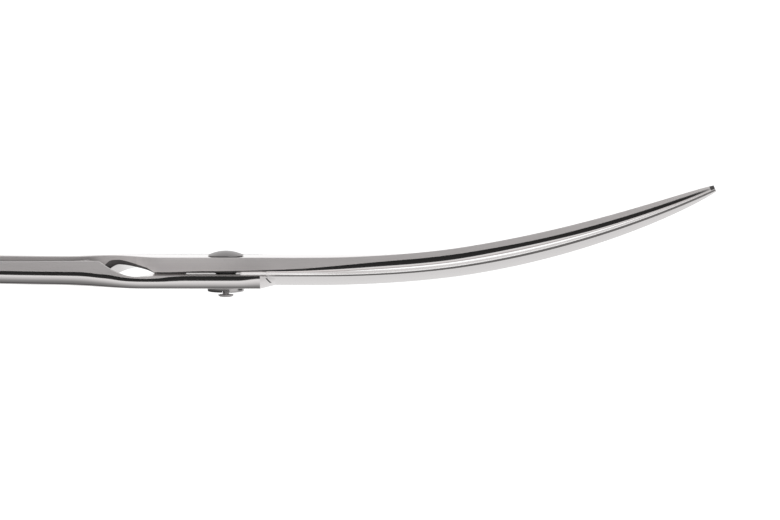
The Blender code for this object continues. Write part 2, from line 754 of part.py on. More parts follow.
def finger_rest():
    """A hooked tang: a stud in the bow, a collar, and a tapered arm that curls back towards the handle's axis."""
    seat = bow_frame(1)
    outward = Vector((cos(REST_ANGLE), sin(REST_ANGLE), 0))
    across = Vector((-sin(REST_ANGLE), cos(REST_ANGLE), 0))
    up = Vector((0, 0, 1))
    rings = []

    def ring(centre, direction, radius):
        wide = up.cross(direction).normalized()
        points = []
        for step in range(SMALL_STEPS):
            angle = 2 * pi * step / SMALL_STEPS
            local = centre + wide * radius * cos(angle) + up * radius * sin(angle)
            points.append(seat @ (local * MM))
        rings.append(points)

    base = outward * BOW_OUTER_RADIUS
    ring(base - outward * REST_STUD_LENGTH, outward, REST_STUD_RADIUS)
    ring(base + outward * SEAT_GAP, outward, REST_STUD_RADIUS)
    ring(base + outward * SEAT_GAP, outward, REST_ROOT_RADIUS - REST_EDGE_BREAK)
    ring(base + outward * (SEAT_GAP + REST_EDGE_BREAK), outward, REST_ROOT_RADIUS)
    start = base + outward * (SEAT_GAP + REST_COLLAR_LENGTH)
    curl_radius = REST_LENGTH / REST_CURL
    for share in spaced(0, 1, ARM_STEPS):
        turn = REST_CURL * share
        centre = start + outward * curl_radius * sin(turn) + across * curl_radius * (1 - cos(turn))
        direction = outward * cos(turn) + across * sin(turn)
        ring(centre, direction, mix(REST_ROOT_RADIUS, REST_TIP_RADIUS, share))
    for turn in spaced(0, pi / 2, CAP_STEPS)[1:-1]:
        radius = REST_TIP_RADIUS * cos(turn)
        ring(centre + direction * REST_TIP_RADIUS * sin(turn), direction, radius)
    obj = new_object("finger_rest", lambda bm: loft(bm, rings))
    material(obj, "rest_steel", (0.60, 0.59, 0.58), 0.25, 1.0)


def inserts():
    for name, side in (("finger_insert", 1), ("thumb_insert", -1)):
        obj = bow_ring(name, side, insert_outline())
        material(obj, "soft_rubber", (0.05, 0.05, 0.055), 0.55, 0.0)


def set_origins():
    """Everything that turns about the pivot has its origin on the pivot axis."""
    pivot = Vector((0, 0, MATING_HEIGHT * MM))
    for name in ("lower_blade", "thumb_insert"):
        obj = bpy.data.objects[name]
        obj.data.transform(Matrix.Translation(-pivot))
        obj.matrix_world = Matrix.Translation(pivot)


def main():
    for obj in list(bpy.data.objects):
        bpy.data.objects.remove(obj, do_unlink=True)
    upper_blade()
    lower_blade()
    pivot_bolt()
    pivot_bush()
    spring_washer()
    tension_nut()
    lock_screw()
    bumper()
    finger_rest()
    inserts()
    set_origins()


main()
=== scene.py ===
"""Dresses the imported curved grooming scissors: finely drawn steel, rubber, and a plain pale studio."""

from math import cos, hypot, pi, radians, sin, sqrt, tan

import bmesh
import bpy
from bpy.props import FloatProperty, FloatVectorProperty, IntProperty, PointerProperty
from bpy.types import Operator, Panel, PropertyGroup
from mathutils import Matrix, Vector


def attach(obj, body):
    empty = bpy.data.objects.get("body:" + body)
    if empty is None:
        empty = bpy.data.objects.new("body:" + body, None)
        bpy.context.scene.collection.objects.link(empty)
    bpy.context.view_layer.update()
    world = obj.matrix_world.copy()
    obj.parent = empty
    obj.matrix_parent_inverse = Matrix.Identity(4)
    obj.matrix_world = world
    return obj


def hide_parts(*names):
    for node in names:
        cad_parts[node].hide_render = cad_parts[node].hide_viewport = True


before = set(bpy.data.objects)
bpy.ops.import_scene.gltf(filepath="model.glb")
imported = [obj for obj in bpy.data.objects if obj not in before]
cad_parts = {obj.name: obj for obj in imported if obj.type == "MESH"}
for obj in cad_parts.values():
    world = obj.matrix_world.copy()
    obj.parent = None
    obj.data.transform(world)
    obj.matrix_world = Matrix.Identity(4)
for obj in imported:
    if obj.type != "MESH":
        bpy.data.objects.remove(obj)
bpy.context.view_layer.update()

bl_info = {
    "name": "Curved grooming scissors",
    "version": (1, 0, 0),
    "blender": (4, 5, 0),
    "location": "View3D > Sidebar > Scissors",
    "description": "Finely drawn blades, pivot hardware, rubber rings and a studio for curved scissors",
    "category": "Object",
}

MM = 0.001

# Form of the blades, in millimetres. Most sizes are the solids' own, and a few are moved a little.
# A name that ends in XS holds the two places along the tool where something starts and is full, or ends.
MATING_HEIGHT = 5.53
TIP_X = 108.8
APEX_X = 110.5
HEEL_X = 7.8
BLADE_START_X = 11.0
BLOCK_END_X = -14.5
SHANK_START_X = -27.5
BLOCK_PLAN_END_X = -20.0
SHANK_ROOT_X = -35.0
SHANK_NECK_X = -62.0
SPINE_HALF_WIDTH = 4.0
EDGE_HALF_WIDTH = 5.6
BLOCK_HALF_WIDTH = 7.7
SHANK_MID_GAP = 1.1
SHANK_NECK_WIDTH = 5.4
SHANK_ROOT_WIDTH = 6.6
BLADE_THICKNESS = 3.0
UPPER_BLOCK_THICKNESS = 3.37
LOWER_BLOCK_THICKNESS = 2.95
BLOCK_RUNOUT_X = 40.0
PIVOT_HALF_GAP = 0.2
BOW_SET = 0.22
BOW_START_X = 12.0
TAPER_START_X = 53.0
BLOCK_LEVEL_END_X = -18.0
SHANK_LEVEL_X = -38.0
UPPER_SHANK_THICKNESS = 3.1
LOWER_SHANK_THICKNESS = 2.5
SHANK_CROWN = 0.25
SHANK_ROOT_DEPTH = 3.1
SHANK_NECK_DEPTH = 2.6
SHANK_INNER_FALL = 0.7
HOOD_CROWN = 0.2
HOOD_XS = (-14.0, -36.0)
HOLLOW_DEPTH = 0.35
HOLLOW_XS = (11.0, 28.0)
INNER_LAND = 0.9
WIDEST_LAND_SHARE = 1 / 3
SPINE_FACET_HEIGHT = 1.3
SPINE_UNDERCUT = 0.36
BLOCK_UNDERCUT = 0.06
BLOCK_UNDERCUT_HEIGHT = 0.35
FACET_RUNOUT_XS = (4.0, 40.0)
EDGE_FLAT = 0.06
EDGE_BEVEL_WIDTH = 0.02
EDGE_BEVEL_HEIGHT = 0.22
FLAT_TOP_XS = (20.0, 41.0)
SPINE_LAND = 1.2
RIDGE_MARGIN = 0.4
RIDGE_DROP = 0.04
BEVEL_SWELL = 0.08
SPINE_CHAMFER = 0.05
BLOCK_ROUNDING = 1.35
SHANK_ROUNDING = 2.4
SHANK_ROLL_HEIGHT = 0.8
SHANK_ROLL_WIDTH = 0.25
SHANK_TOP_ROLL = 0.15
SHANK_EDGE_CHAMFER = 0.14
ROUNDING_START_X = -18.0
ROUNDING_FULL_X = -32.0
FLANK_SHARE = 0.85
ROLL_SHARE = 0.45
SHANK_FACET_RISE_XS = (-8.0, -15.0)
SHANK_FACET_HEIGHT = 0.82
SHANK_FACET_FALL_X = -20.5
SHANK_FACET_LOW_X = -33.0
SHANK_FACET_LOW_HEIGHT = -0.4
LEAST_FACET = 0.05
SCOOP_START_X = -15.9
SCOOP_OUTER_DEPTH = 0.42
SCOOP_INNER_DEPTH = 1.7
SCOOP_CORNER_RUN = 1.4
SCOOP_BELLY = 0.6
SHOULDER_OUTER_X = -23.9
SHOULDER_INNER_X = -27.2
SHOULDER_HALF_RUN = 3.6
BEND_START_X = 21.5
BEND_RISE = 18.63
BEND_LEAD_XS = (12.0, 54.0)
BEND_LEAD_RISE = 0.18
HANDLE_BEND_START_X = -16.0
HANDLE_RISE = 0.9
BOW_X = -82.0
BOW_INNER_RADIUS = 11.2
BOW_WIRE_WIDTH = 4.1
BOW_WIRE_HEIGHT = 4.8
CROTCH_FLARE = 1.6
CROTCH_RUN = 6.0
SEAM_INSET = 0.2

# Finer form, which only the dressed blades have.
UNDERCUT_FULL_X = 36.0
UNDERCUT_SWELL = 0.12
SWELL_XS = (48.0, 84.0)
LOW_UNDERCUT_SHARE = 0.3
UNDERCUT_XS = (-13.0, -5.0)
SCOOP_UNDERCUT_X = -17.5
EDGE_BEVEL_GAIN = 0.26
EDGE_BEVEL_GAIN_X = 80.0
EDGE_TAPER_SHARE = 0.2
FACET_GAIN = 0.2
FACET_GAIN_XS = (55.0, 78.0)
RUNOUT_LIFT = 0.13
RUNOUT_LIFT_END_X = 18.0
HEEL_LEAN = 0.25
HEEL_LEAN_START_X = 3.0
HEEL_LINE_SLANT = (0.30, 0.79)
HEEL_LINE_WIDTH = 0.12
BLOCK_EDGE_CHAMFER = 0.02
SHANK_FACET_DIP = 0.16
SHANK_FACET_DIP_XS = (-28.5, -22.5)
HOOD_ROLL_EXTRA = 0.4
HOOD_CORNER_EXTRA = 0.8
HOOD_CORNER_XS = (-24.0, -29.0)
SCOOP_CORNER_SHARE = 0.15
OUTER_SHOULDER_XS = (-19.6, -27.8)
OUTER_SHOULDER_POWER = 1.75
LAST_TAPER_GAP = 0.9

# Where the finishes change, in millimetres or as shares of a face.
INWARD_START_X = -20.0
BRIGHT_LAND_X = -10.5
# The next three places bound painted shade: the roll under the spine's facet is dark up to the first, in
# its upper part up to the second, and the tip's facet is dark past the third.
PAINTED_SHADE_END_X = 2.5
DARK_ROLL_END_X = 18.0
TIP_FACET_X = 107.9
# Share of the block's inner land, from its outer side, that is satin with painted shade.
PAINTED_SHADE_LAND_SHARE = 0.3
HEEL_LAND_SHARE = 0.1
POLISHED_LAND_SHARE = 0.4
HEEL_LINE_DEPTHS = (0.2, 0.72)
POLISHED_MARGIN = 0.25
MARGIN_WAIST_XS = (-24.0, -11.0)

# Fits, and the pieces at the pivot and on the bows.
RUNNING_CLEARANCE = 0.25
CUT_OVERRUN = 1.0
SEAT_GAP = 0.2
HEAD_RADIUS = 3.94
HEAD_GAP = 0.12
HEAD_HEIGHT = 1.08
HEAD_RIM = 0.16
HEAD_EDGE = 0.06
CENTRE_MARK_RADIUS = 0.45
CENTRE_MARK_DEPTH = 0.1
BOLT_RADIUS = 1.45
KEY_SIDE = 3.3
KEY_DEPTH = 1.5
TAPPED_DEPTH = 3.2
DRILL_POINT = 0.4
BOLT_END_INSET = 0.1
BUSH_RADIUS = 2.25
BUSH_RECESS = 0.35
BUSH_LENGTH = 1.9
BUSH_STAND = 0.1
NUT_RADIUS = 4.1
NUT_FLANGE_THICKNESS = 1.08
NUT_BOSS_RADIUS = 2.2
NUT_BOSS_HEIGHT = 0.9
NUT_SLOT_WIDTH = 1.5
NUT_SLOT_DEPTH = 0.6
NUT_EDGE = 0.24
NUT_CONE_RISE = 0.2
SPRING_RADIUS = 3.2
SPRING_THICKNESS = 0.25
SPRING_DISH = 0.2
STEM_RADIUS = 0.72
STEM_LENGTH = 3.4
CAP_RADIUS = 1.7
CAP_THICKNESS = 0.5
CAP_FLAT_RADIUS = 0.95
CAP_GAP = 0.55
CAP_EDGE = 0.06
SOCKET_RADIUS = 0.55
SOCKET_DEPTH = 0.35
BUMPER_X = -76.0
BUMPER_RADIUS = 2.3
BUMPER_ROUNDING = 0.8
BUMPER_STEM_RADIUS = 1.0
BUMPER_STEM_LENGTH = 2.6
REST_ANGLE = radians(152)
REST_LENGTH = 17.0
REST_CURL = radians(62)
REST_ROOT_RADIUS = 2.1
REST_TIP_RADIUS = 1.5
REST_COLLAR_LENGTH = 1.2
REST_COLLAR_GROOVE = 0.18
REST_EDGE = 0.2
REST_EDGE_MIDDLE = 0.06
REST_STUD_RADIUS = 0.9
REST_STUD_LENGTH = 2.2
INSERT_WALL = 1.0
INSERT_WRAP = radians(62)
INSERT_LIP_SHARE = 0.15
INSERT_LIP_POWER = 8
INSERT_STEPS = 240
GRIP_FLUTES = 40
GRIP_FLUTE_DEPTH = 0.14

# Heights and radii that follow from these.
LOWER_FACE = PIVOT_HALF_GAP + LOWER_BLOCK_THICKNESS
UPPER_FACE = PIVOT_HALF_GAP + UPPER_BLOCK_THICKNESS
NUT_TOP = -(LOWER_FACE + RUNNING_CLEARANCE)
NUT_BOTTOM = NUT_TOP - NUT_FLANGE_THICKNESS
CAP_TOP = NUT_BOTTOM - CAP_GAP
CAP_BOTTOM = CAP_TOP - CAP_THICKNESS
PIVOT_AT = Vector((0, 0, MATING_HEIGHT)) * MM
UPRIGHT = Matrix.Identity(3)
BOW_OUTER_RADIUS = BOW_INNER_RADIUS + BOW_WIRE_WIDTH
BOW_SIDE = BOW_OUTER_RADIUS + SHANK_MID_GAP
BOW_WIRE_CENTRE = BOW_INNER_RADIUS + BOW_WIRE_WIDTH / 2
BOW_SEAM_RADIUS = BOW_WIRE_CENTRE - SEAM_INSET
CROTCH_X = BOW_X + BOW_OUTER_RADIUS + CROTCH_RUN

# Finishes along the outline: which of a blade's material slots a strip of faces takes. The fourth, fifth
# and sixth carry painted shade: darker towards the bows, dark all over, and darker on the edge and the
# block's outer land.
POLISHED, SATIN, GROUND, INWARD, PAINTED_SHADE, SHADED_SATIN = range(6)

# Below this angle the hood's roll has painted shade; past it the roll has the finish of the flank above
# it.
ROLL_SHADE_ANGLE = radians(84)

# Past this angle the block's roll has painted shade beyond the pivot too.
DARK_ROLL_ANGLE = radians(50)

# Where a flat facet has two more lines of points, close to its sides, so that its shading stays flat.
FACET_HOLDS = (0.04, 0.96)

# Points along the parts of a section. A bevel has as many as the rounding and facet that it replaces.
INNER_STEPS = 8
ROLL_STEPS = 8
TOP_STEPS = 6
ROUNDING_STEPS = 14
BEVEL_STEPS = ROUNDING_STEPS + 1 + len(FACET_HOLDS)
TAPER_STATIONS = 44

# Points along the domed head, the screw's cap, and the finger rest's arm and round end.
CROWN_STEPS = 28
CAP_STEPS = 12
REST_ARM_STEPS = 40
REST_END_STEPS = 10

# Painted light on the satin: where along the tool it is brightest, how far that reaches either way, and
# how much it adds.
SATIN_BRIGHT_X = -8.0
SATIN_BRIGHT_RUN = 13.0
SATIN_BRIGHT_GAIN = 0.55

# Levels of the satin's tint between which its lines vary, and the level of its painted shade against it.
SATIN_LEVELS = (0.92, 1.25)
PAINTED_SHADE_LEVEL = 0.36

# Where the painted shade fades in, in metres along the tool or across it.
PAINTED_SHADE_ACROSS = (0.0032, 0.0048)
PAINTED_SHADE_LAND_ALONG = (-0.0164, -0.0152)
PAINTED_SHADE_EDGE_ALONG = (0.006, 0.0075)
INWARD_SHADE_ALONG = (-0.031, -0.021)

# How much the wheel's arcs on the hollow bend, per metre.
WHEEL_ARC = 4.0

# The studio's grey by height, from -1 straight below to 1 straight above. The dark steps low down in
# front are the card that draws the black lines on polished steel.
FRONT_GREYS = (
    (-1.0, 0.20), (-0.92, 0.30), (-0.84, 0.44), (-0.76, 0.55), (-0.67, 0.66), (-0.57, 0.76),
    (-0.45, 0.85), (-0.41, 0.03), (-0.08, 0.02), (0.0, 0.25), (0.15, 0.78), (0.35, 1.05), (0.7, 0.85),
    (1.0, 0.55),
)
BACK_GREYS = (
    (-1.0, 0.20), (-0.97, 0.12), (-0.90, 0.06), (-0.84, 0.08), (-0.78, 0.60), (-0.62, 0.68),
    (-0.36, 0.80), (-0.1, 0.90), (0.1, 1.05), (0.42, 0.9), (0.7, 0.68), (0.9, 0.52), (1.0, 0.48),
)
LEFT_GREYS = (
    (-1.0, 0.20), (-0.8, 0.06), (-0.12, 0.05), (0.0, 0.30), (0.15, 0.75), (0.35, 1.0), (1.0, 0.55),
)
RIGHT_GREYS = ((-1.0, 0.24), (-0.6, 0.60), (-0.3, 0.70), (0.0, 0.80), (0.35, 1.0), (1.0, 0.55))
SLIT_GREYS = (
    (-1.0, 0.24), (-0.6, 0.60), (-0.17, 0.68), (-0.13, 0.05), (0.0, 0.05), (0.12, 0.60), (0.35, 1.0),
    (1.0, 0.55),
)

# The pivot's place in the picture, and the picture's middle, in pixels from its top left.
PIVOT_PX = Vector((225.8, 272.0))
MIDDLE_PX = Vector((390.0, 260.0))
SENSOR_WIDTH = 36.0
FLOOR_HALF_SIDE = 6.0

# Half the distance, along the tool, over which the curve's slope is measured.
SLOPE_STEP = 0.01


def way(start, end, x):
    """Share of the way from start to end, straight."""
    return max(0.0, min(1.0, (x - start) / (end - start)))


def ease(start, end, x):
    """Share of the way from start to end, level at both."""
    s = way(start, end, x)
    return s * s * (3 - 2 * s)


def hump(start, end, x, power=2):
    """Rises to 1 halfway between start and end, and is 0 beyond them."""
    return sin(pi * way(start, end, x)) ** power


def mix(a, b, share):
    return a + (b - a) * share


def spaced(start, end, count):
    return [mix(start, end, step / count) for step in range(count + 1)]


def bend_height(x):
    if x < HANDLE_BEND_START_X:
        return HANDLE_RISE * ((x - HANDLE_BEND_START_X) / (BOW_X - HANDLE_BEND_START_X)) ** 2
    height = BEND_LEAD_RISE * hump(*BEND_LEAD_XS, x)
    if x > BEND_START_X:
        height += BEND_RISE * ((x - BEND_START_X) / (TIP_X - BEND_START_X)) ** 2
    return height


def bend_slope(x):
    return (bend_height(x + SLOPE_STEP) - bend_height(x - SLOPE_STEP)) / (2 * SLOPE_STEP)


def place(x, u, t, side):
    slope = bend_slope(x)
    run = hypot(1, slope)
    height = MATING_HEIGHT + bend_height(x) + side * t / run
    return Vector((x - side * t * slope / run, side * u, height)) * MM


def narrowing(start, x):
    """An ellipse's quarter, from 1 at the start to 0 at the point where the outlines would meet."""
    return sqrt(1 - way(start, APEX_X, x) ** 2)


def thickness_taper(x):
    return narrowing(TAPER_START_X, x)


def width_taper(x):
    return narrowing(BLADE_START_X, x)


def half_gap(x):
    bowed = mix(PIVOT_HALF_GAP, PIVOT_HALF_GAP + BOW_SET, ease(BOW_START_X, BLOCK_RUNOUT_X, x))
    return bowed * thickness_taper(x) ** 2 if x > 0 else PIVOT_HALF_GAP


def spine_side(x):
    if x > 0:
        return -SPINE_HALF_WIDTH * width_taper(x)
    return mix(-SPINE_HALF_WIDTH, SHANK_MID_GAP, ease(BLOCK_END_X, SHANK_START_X, x))


def edge_side(x):
    if x > HEEL_X:
        return mix(BLOCK_HALF_WIDTH, EDGE_HALF_WIDTH * width_taper(x), way(HEEL_X, BLADE_START_X, x))
    neck = SHANK_MID_GAP + SHANK_NECK_WIDTH
    root = SHANK_MID_GAP + SHANK_ROOT_WIDTH
    shank = mix(root, neck, ease(SHANK_ROOT_X, SHANK_NECK_X, x))
    shank += CROTCH_FLARE * way(CROTCH_X, CROTCH_X - CROTCH_RUN, x) ** 2
    if x < BOW_X + BOW_SEAM_RADIUS:
        seam = BOW_SIDE - sqrt(BOW_SEAM_RADIUS**2 - max(x - BOW_X, 0) ** 2)
        shank = min(shank, seam)
    return mix(BLOCK_HALF_WIDTH, shank, ease(BLOCK_PLAN_END_X, SHANK_ROOT_X, x))


def inner_faces(x):
    gap = half_gap(x)
    if x >= SCOOP_START_X:
        return gap, gap
    corner = way(SCOOP_START_X, SCOOP_START_X - SCOOP_CORNER_RUN, x)
    depth = sin(pi / 2 * way(SCOOP_START_X, SHOULDER_OUTER_X, x))
    outer = mix(gap, SCOOP_OUTER_DEPTH, depth ** SCOOP_BELLY)
    inner = mix(gap, SCOOP_INNER_DEPTH, mix(depth, corner, SCOOP_CORNER_SHARE))
    run = SHOULDER_HALF_RUN
    shank = -mix(SHANK_ROOT_DEPTH, SHANK_NECK_DEPTH, ease(SHANK_START_X, SHANK_NECK_X, x))
    spine_side_shank = shank + SHANK_INNER_FALL * ease(SHANK_START_X, SHANK_LEVEL_X, x)
    outer = mix(outer, shank, way(*OUTER_SHOULDER_XS, x) ** OUTER_SHOULDER_POWER)
    inner = mix(inner, spine_side_shank, ease(SHOULDER_INNER_X + run, SHOULDER_INNER_X - run, x))
    return outer, inner


def outer_face(x, side):
    block = UPPER_BLOCK_THICKNESS if side > 0 else LOWER_BLOCK_THICKNESS
    if x > 0:
        stack = PIVOT_HALF_GAP + mix(block, BOW_SET + BLADE_THICKNESS, ease(0, BLOCK_RUNOUT_X, x))
        return stack * thickness_taper(x)
    shank = UPPER_SHANK_THICKNESS if side > 0 else LOWER_SHANK_THICKNESS
    return mix(PIVOT_HALF_GAP + block, shank, ease(BLOCK_LEVEL_END_X, SHANK_LEVEL_X, x))


def block_undercut(x):
    """Height of the roll under the block's spine side, which is lowest where the scoop begins."""
    if x > SCOOP_START_X:
        full = ease(*UNDERCUT_XS, x)
    else:
        full = ease(SCOOP_START_X, SCOOP_UNDERCUT_X, x)
    return BLOCK_UNDERCUT_HEIGHT * mix(LOW_UNDERCUT_SHARE, 1, full)


def spine_points(x, low, high):
    """The spine side as (across, out, finish). A finish is that of the strip up to the next point."""
    u = spine_side(x)
    height = high - low
    if x > 0:
        run_out = ease(*FACET_RUNOUT_XS, x)
        long_facet = SPINE_FACET_HEIGHT + FACET_GAIN * ease(*FACET_GAIN_XS, x)
        facet = mix(height - block_undercut(x), long_facet * thickness_taper(x), run_out)
        roll_height = height - facet + RUNOUT_LIFT * hump(0, RUNOUT_LIFT_END_X, x, 1)
        roll_width = mix(BLOCK_UNDERCUT, SPINE_UNDERCUT * width_taper(x), ease(0, UNDERCUT_FULL_X, x))
        roll_width += UNDERCUT_SWELL * hump(*SWELL_XS, x)
        top = SPINE_CHAMFER * width_taper(x)
    else:
        shank = ease(ROUNDING_START_X, SHOULDER_INNER_X, x)
        roll_height = mix(block_undercut(x), SHANK_ROLL_HEIGHT, shank)
        roll_width = mix(BLOCK_UNDERCUT, SHANK_ROLL_WIDTH, shank)
        top = mix(SPINE_CHAMFER, SHANK_TOP_ROLL, shank)
        hood = hump(*HOOD_XS, x)
        roll_height += HOOD_ROLL_EXTRA * hood + HOOD_CORNER_EXTRA * hump(*HOOD_CORNER_XS, x)
        high += SHANK_CROWN * ease(BLOCK_LEVEL_END_X, SHANK_LEVEL_X, x) + HOOD_CROWN * hood
        room = ROLL_SHARE * (edge_side(x) - u)
        share = min(1, FLANK_SHARE * height / (roll_height + top), room / top)
        roll_height *= share
        roll_width *= share
        top *= share
    points = []
    # The inward flank is satin with painted shade towards the bows; at the tip's facet the flank is
    # painted dark.
    flank = SATIN if x > INWARD_START_X else INWARD
    if x >= TIP_FACET_X:
        flank = PAINTED_SHADE
    for angle in spaced(0, pi / 2, ROLL_STEPS):
        under = POLISHED
        # Painted shade: the roll is dark back from just past the pivot, on the tip's facet, and in its
        # upper part a little further along the blade.
        if x < PAINTED_SHADE_END_X or x >= TIP_FACET_X or (x < DARK_ROLL_END_X and angle > DARK_ROLL_ANGLE):
            under = PAINTED_SHADE
        if x < SCOOP_START_X and angle > ROLL_SHADE_ANGLE:
            under = flank
        points.append((u + roll_width * (1 - sin(angle)), low + roll_height * (1 - cos(angle)), under))
    foot = low + roll_height
    head = high - top
    points[-1] = (u, foot, flank)
    for share in FACET_HOLDS:
        points.append((u, mix(foot, head, share), flank))
    for angle in spaced(0, pi / 2, TOP_STEPS):
        points.append((u + top * (1 - cos(angle)), high - top * (1 - sin(angle)), POLISHED))
    return points


def edge_points(x, low, high):
    """The outer side of the block and the shank, from the outer face back to the inner one."""
    u = edge_side(x)
    shank = ease(ROUNDING_START_X, ROUNDING_FULL_X, x)
    rounding = mix(BLOCK_ROUNDING, SHANK_ROUNDING, shank)
    rounding = min(rounding, ROLL_SHARE * (u - spine_side(x)))
    fall = ease(SHANK_FACET_FALL_X, SHANK_FACET_LOW_X, x)
    facet = mix(SHANK_FACET_HEIGHT, SHANK_FACET_LOW_HEIGHT, fall)
    facet = mix(low, facet, ease(*SHANK_FACET_RISE_XS, x))
    facet = max(facet, low + LEAST_FACET)
    facet -= SHANK_FACET_DIP * hump(*SHANK_FACET_DIP_XS, x)
    chamfer = mix(BLOCK_EDGE_CHAMFER, SHANK_EDGE_CHAMFER, ease(SCOOP_START_X, SHOULDER_OUTER_X, x))
    ledge = min(chamfer, (facet - low) / 2)
    lean = HEEL_LEAN * ease(HEEL_LEAN_START_X, HEEL_X, x)
    points = []
    for angle in spaced(0, pi / 2, ROUNDING_STEPS):
        across = u - rounding * (1 - sin(angle)) - lean * cos(angle)
        points.append((across, facet + (high - facet) * cos(angle), POLISHED))
    margin = POLISHED_MARGIN * (1 - hump(*MARGIN_WAIST_XS, x))
    foot = max(facet - margin, mix(facet, low + ledge, 0.5))
    points.append((u, foot, SATIN))
    for share in FACET_HOLDS:
        points.append((u, mix(foot, low + ledge, share), SATIN))
    # At the block, the ledge by the inner face is satin with painted shade.
    rim = SHADED_SATIN if x >= SCOOP_START_X else POLISHED
    points.append((u, low + ledge, rim))
    points.append((u - ledge, low, rim))
    return points


def bevel_points(x, side, low, high):
    """The blade's outer side: a ridge, the long bevel down to the edge, and the edge bevel, satin with
    painted shade.
    """
    u = edge_side(x)
    taper = width_taper(x)
    wedge = ease(*FLAT_TOP_XS, x) if side > 0 else 1.0
    bevel_u = u - EDGE_BEVEL_WIDTH * taper
    height = EDGE_BEVEL_HEIGHT + EDGE_BEVEL_GAIN * ease(BLADE_START_X, EDGE_BEVEL_GAIN_X, x)
    bevel_t = low + EDGE_FLAT * taper + height * mix(1, taper, EDGE_TAPER_SHARE)
    ridge_u = mix(bevel_u - RIDGE_MARGIN, spine_side(x) + SPINE_LAND * taper, wedge)
    ridge_t = high - RIDGE_DROP * taper
    points = []
    for share in spaced(0, 1, BEVEL_STEPS):
        swell = BEVEL_SWELL * taper * sin(pi * share)
        points.append((mix(ridge_u, bevel_u, share), mix(ridge_t, bevel_t, share) + swell, POLISHED))
    points[-1] = (bevel_u, bevel_t, SHADED_SATIN)
    points.append((u, low + EDGE_FLAT * taper, SHADED_SATIN))
    points.append((u, low, POLISHED))
    return points


def inner_points(x, outer, inner):
    """The inner face between its two ends, hollow-ground between two flat lands on the blade."""
    width = outer[0] - inner[0]
    land = min(INNER_LAND * width_taper(x) / width, WIDEST_LAND_SHARE)
    depth = HOLLOW_DEPTH * width_taper(x) * ease(*HOLLOW_XS, x)
    points = []
    for across in spaced(0, 1, INNER_STEPS):
        share = mix(land, 1 - land, across)
        hollow = depth * (1 - (2 * across - 1) ** 2)
        # On the block, the outer share of the land is satin with painted shade.
        if x > HEEL_X:
            finish = POLISHED if across < POLISHED_LAND_SHARE else GROUND
        elif x < SCOOP_START_X or (x > PAINTED_SHADE_END_X and across > HEEL_LAND_SHARE):
            finish = POLISHED
        elif across > PAINTED_SHADE_LAND_SHARE:
            finish = POLISHED if x > BRIGHT_LAND_X else SATIN
        else:
            finish = SHADED_SATIN
        points.append((mix(outer[0], inner[0], share), mix(outer[1], inner[1], share) + hollow, finish))
    return points


def section(x, side):
    outer_t, inner_t = inner_faces(x)
    high = outer_face(x, side)
    spine = spine_points(x, inner_t, high)
    edge = bevel_points(x, side, outer_t, high) if x > HEEL_X else edge_points(x, outer_t, high)
    return inner_points(x, edge[-1], spine[0]) + spine + edge


def stations():
    """Where along the tool a blade has a section: closer together where its form or finish changes."""
    xs = [BOW_X - BOW_WIRE_CENTRE / 4, SCOOP_START_X - SCOOP_CORNER_RUN, TIP_FACET_X, TIP_X]
    for start, end, count in (
        (BOW_X, CROTCH_X, 16),
        (CROTCH_X, SHANK_FACET_LOW_X, 16),
        (SHANK_FACET_LOW_X, SCOOP_START_X, 48),
        (BLOCK_END_X, BRIGHT_LAND_X, 4),
        (BRIGHT_LAND_X, PAINTED_SHADE_END_X, 8),
        (PAINTED_SHADE_END_X, HEEL_X, 6),
        (BLADE_START_X, TAPER_START_X, 36),
    ):
        xs += spaced(start, end, count)
    run = TIP_X - LAST_TAPER_GAP - TAPER_START_X
    xs += [TAPER_START_X + run * sin(angle) for angle in spaced(0, pi / 2, TAPER_STATIONS)]
    return sorted({round(x, 4) for x in xs})


def link(name, bm):
    mesh = bpy.data.meshes.new(name)
    bmesh.ops.recalc_face_normals(bm, faces=bm.faces)
    bm.to_mesh(mesh)
    bm.free()
    obj = bpy.data.objects.new(name, mesh)
    bpy.context.scene.collection.objects.link(obj)
    return obj


def smooth(obj, angle=20):
    obj.data.shade_smooth()
    obj.data.set_sharp_from_angle(angle=radians(angle))


def combine(obj, others, operation):
    """Join or cut with closed meshes, and keep only the result."""
    for other in others:
        modifier = obj.modifiers.new(other.name, "BOOLEAN")
        modifier.operation = operation
        modifier.solver = "MANIFOLD"
        modifier.object = other
    bpy.context.view_layer.update()
    shown = obj.evaluated_get(bpy.context.evaluated_depsgraph_get())
    result = bpy.data.meshes.new_from_object(shown)
    obj.modifiers.clear()
    old = obj.data
    obj.data = result
    bpy.data.meshes.remove(old)
    if not result.polygons:
        raise RuntimeError(f"{obj.name} came out empty")
    for other in others:
        bpy.data.objects.remove(other, do_unlink=True)


def stitch(bm, rings, finishes=None):
    """Puts faces from each ring of points to the next. A ring of one point closes them."""
    for number, (near, far) in enumerate(zip(rings, rings[1:])):
        count = max(len(near), len(far))
        for index in range(count):
            after = (index + 1) % count
            corners = [near[index % len(near)], near[after % len(near)]]
            corners += [far[after % len(far)], far[index % len(far)]]
            face = bm.faces.new(list(dict.fromkeys(corners)))
            if finishes:
                face.material_index = finishes[number][index]


def circle(steps):
    return [2 * pi * step / steps for step in range(steps)]


def at_angle(radius, angle, height):
    return Vector((radius * cos(angle), radius * sin(angle), height)) * MM


def turned(name, profile, location, rotation=UPRIGHT, steps=96):
    """A body turned about local Z from (radius, height) pairs in millimetres."""
    bm = bmesh.new()
    rings = []
    for radius, height in profile:
        angles = circle(steps if radius else 1)
        rings.append([bm.verts.new(at_angle(radius, angle, height)) for angle in angles])
    if len(rings[0]) > 1 and len(rings[-1]) > 1:
        rings.append(rings[0])
    stitch(bm, rings)
    seat = Matrix.Translation(location) @ rotation.to_4x4()
    bmesh.ops.transform(bm, matrix=seat, verts=bm.verts)
    return link(name, bm)


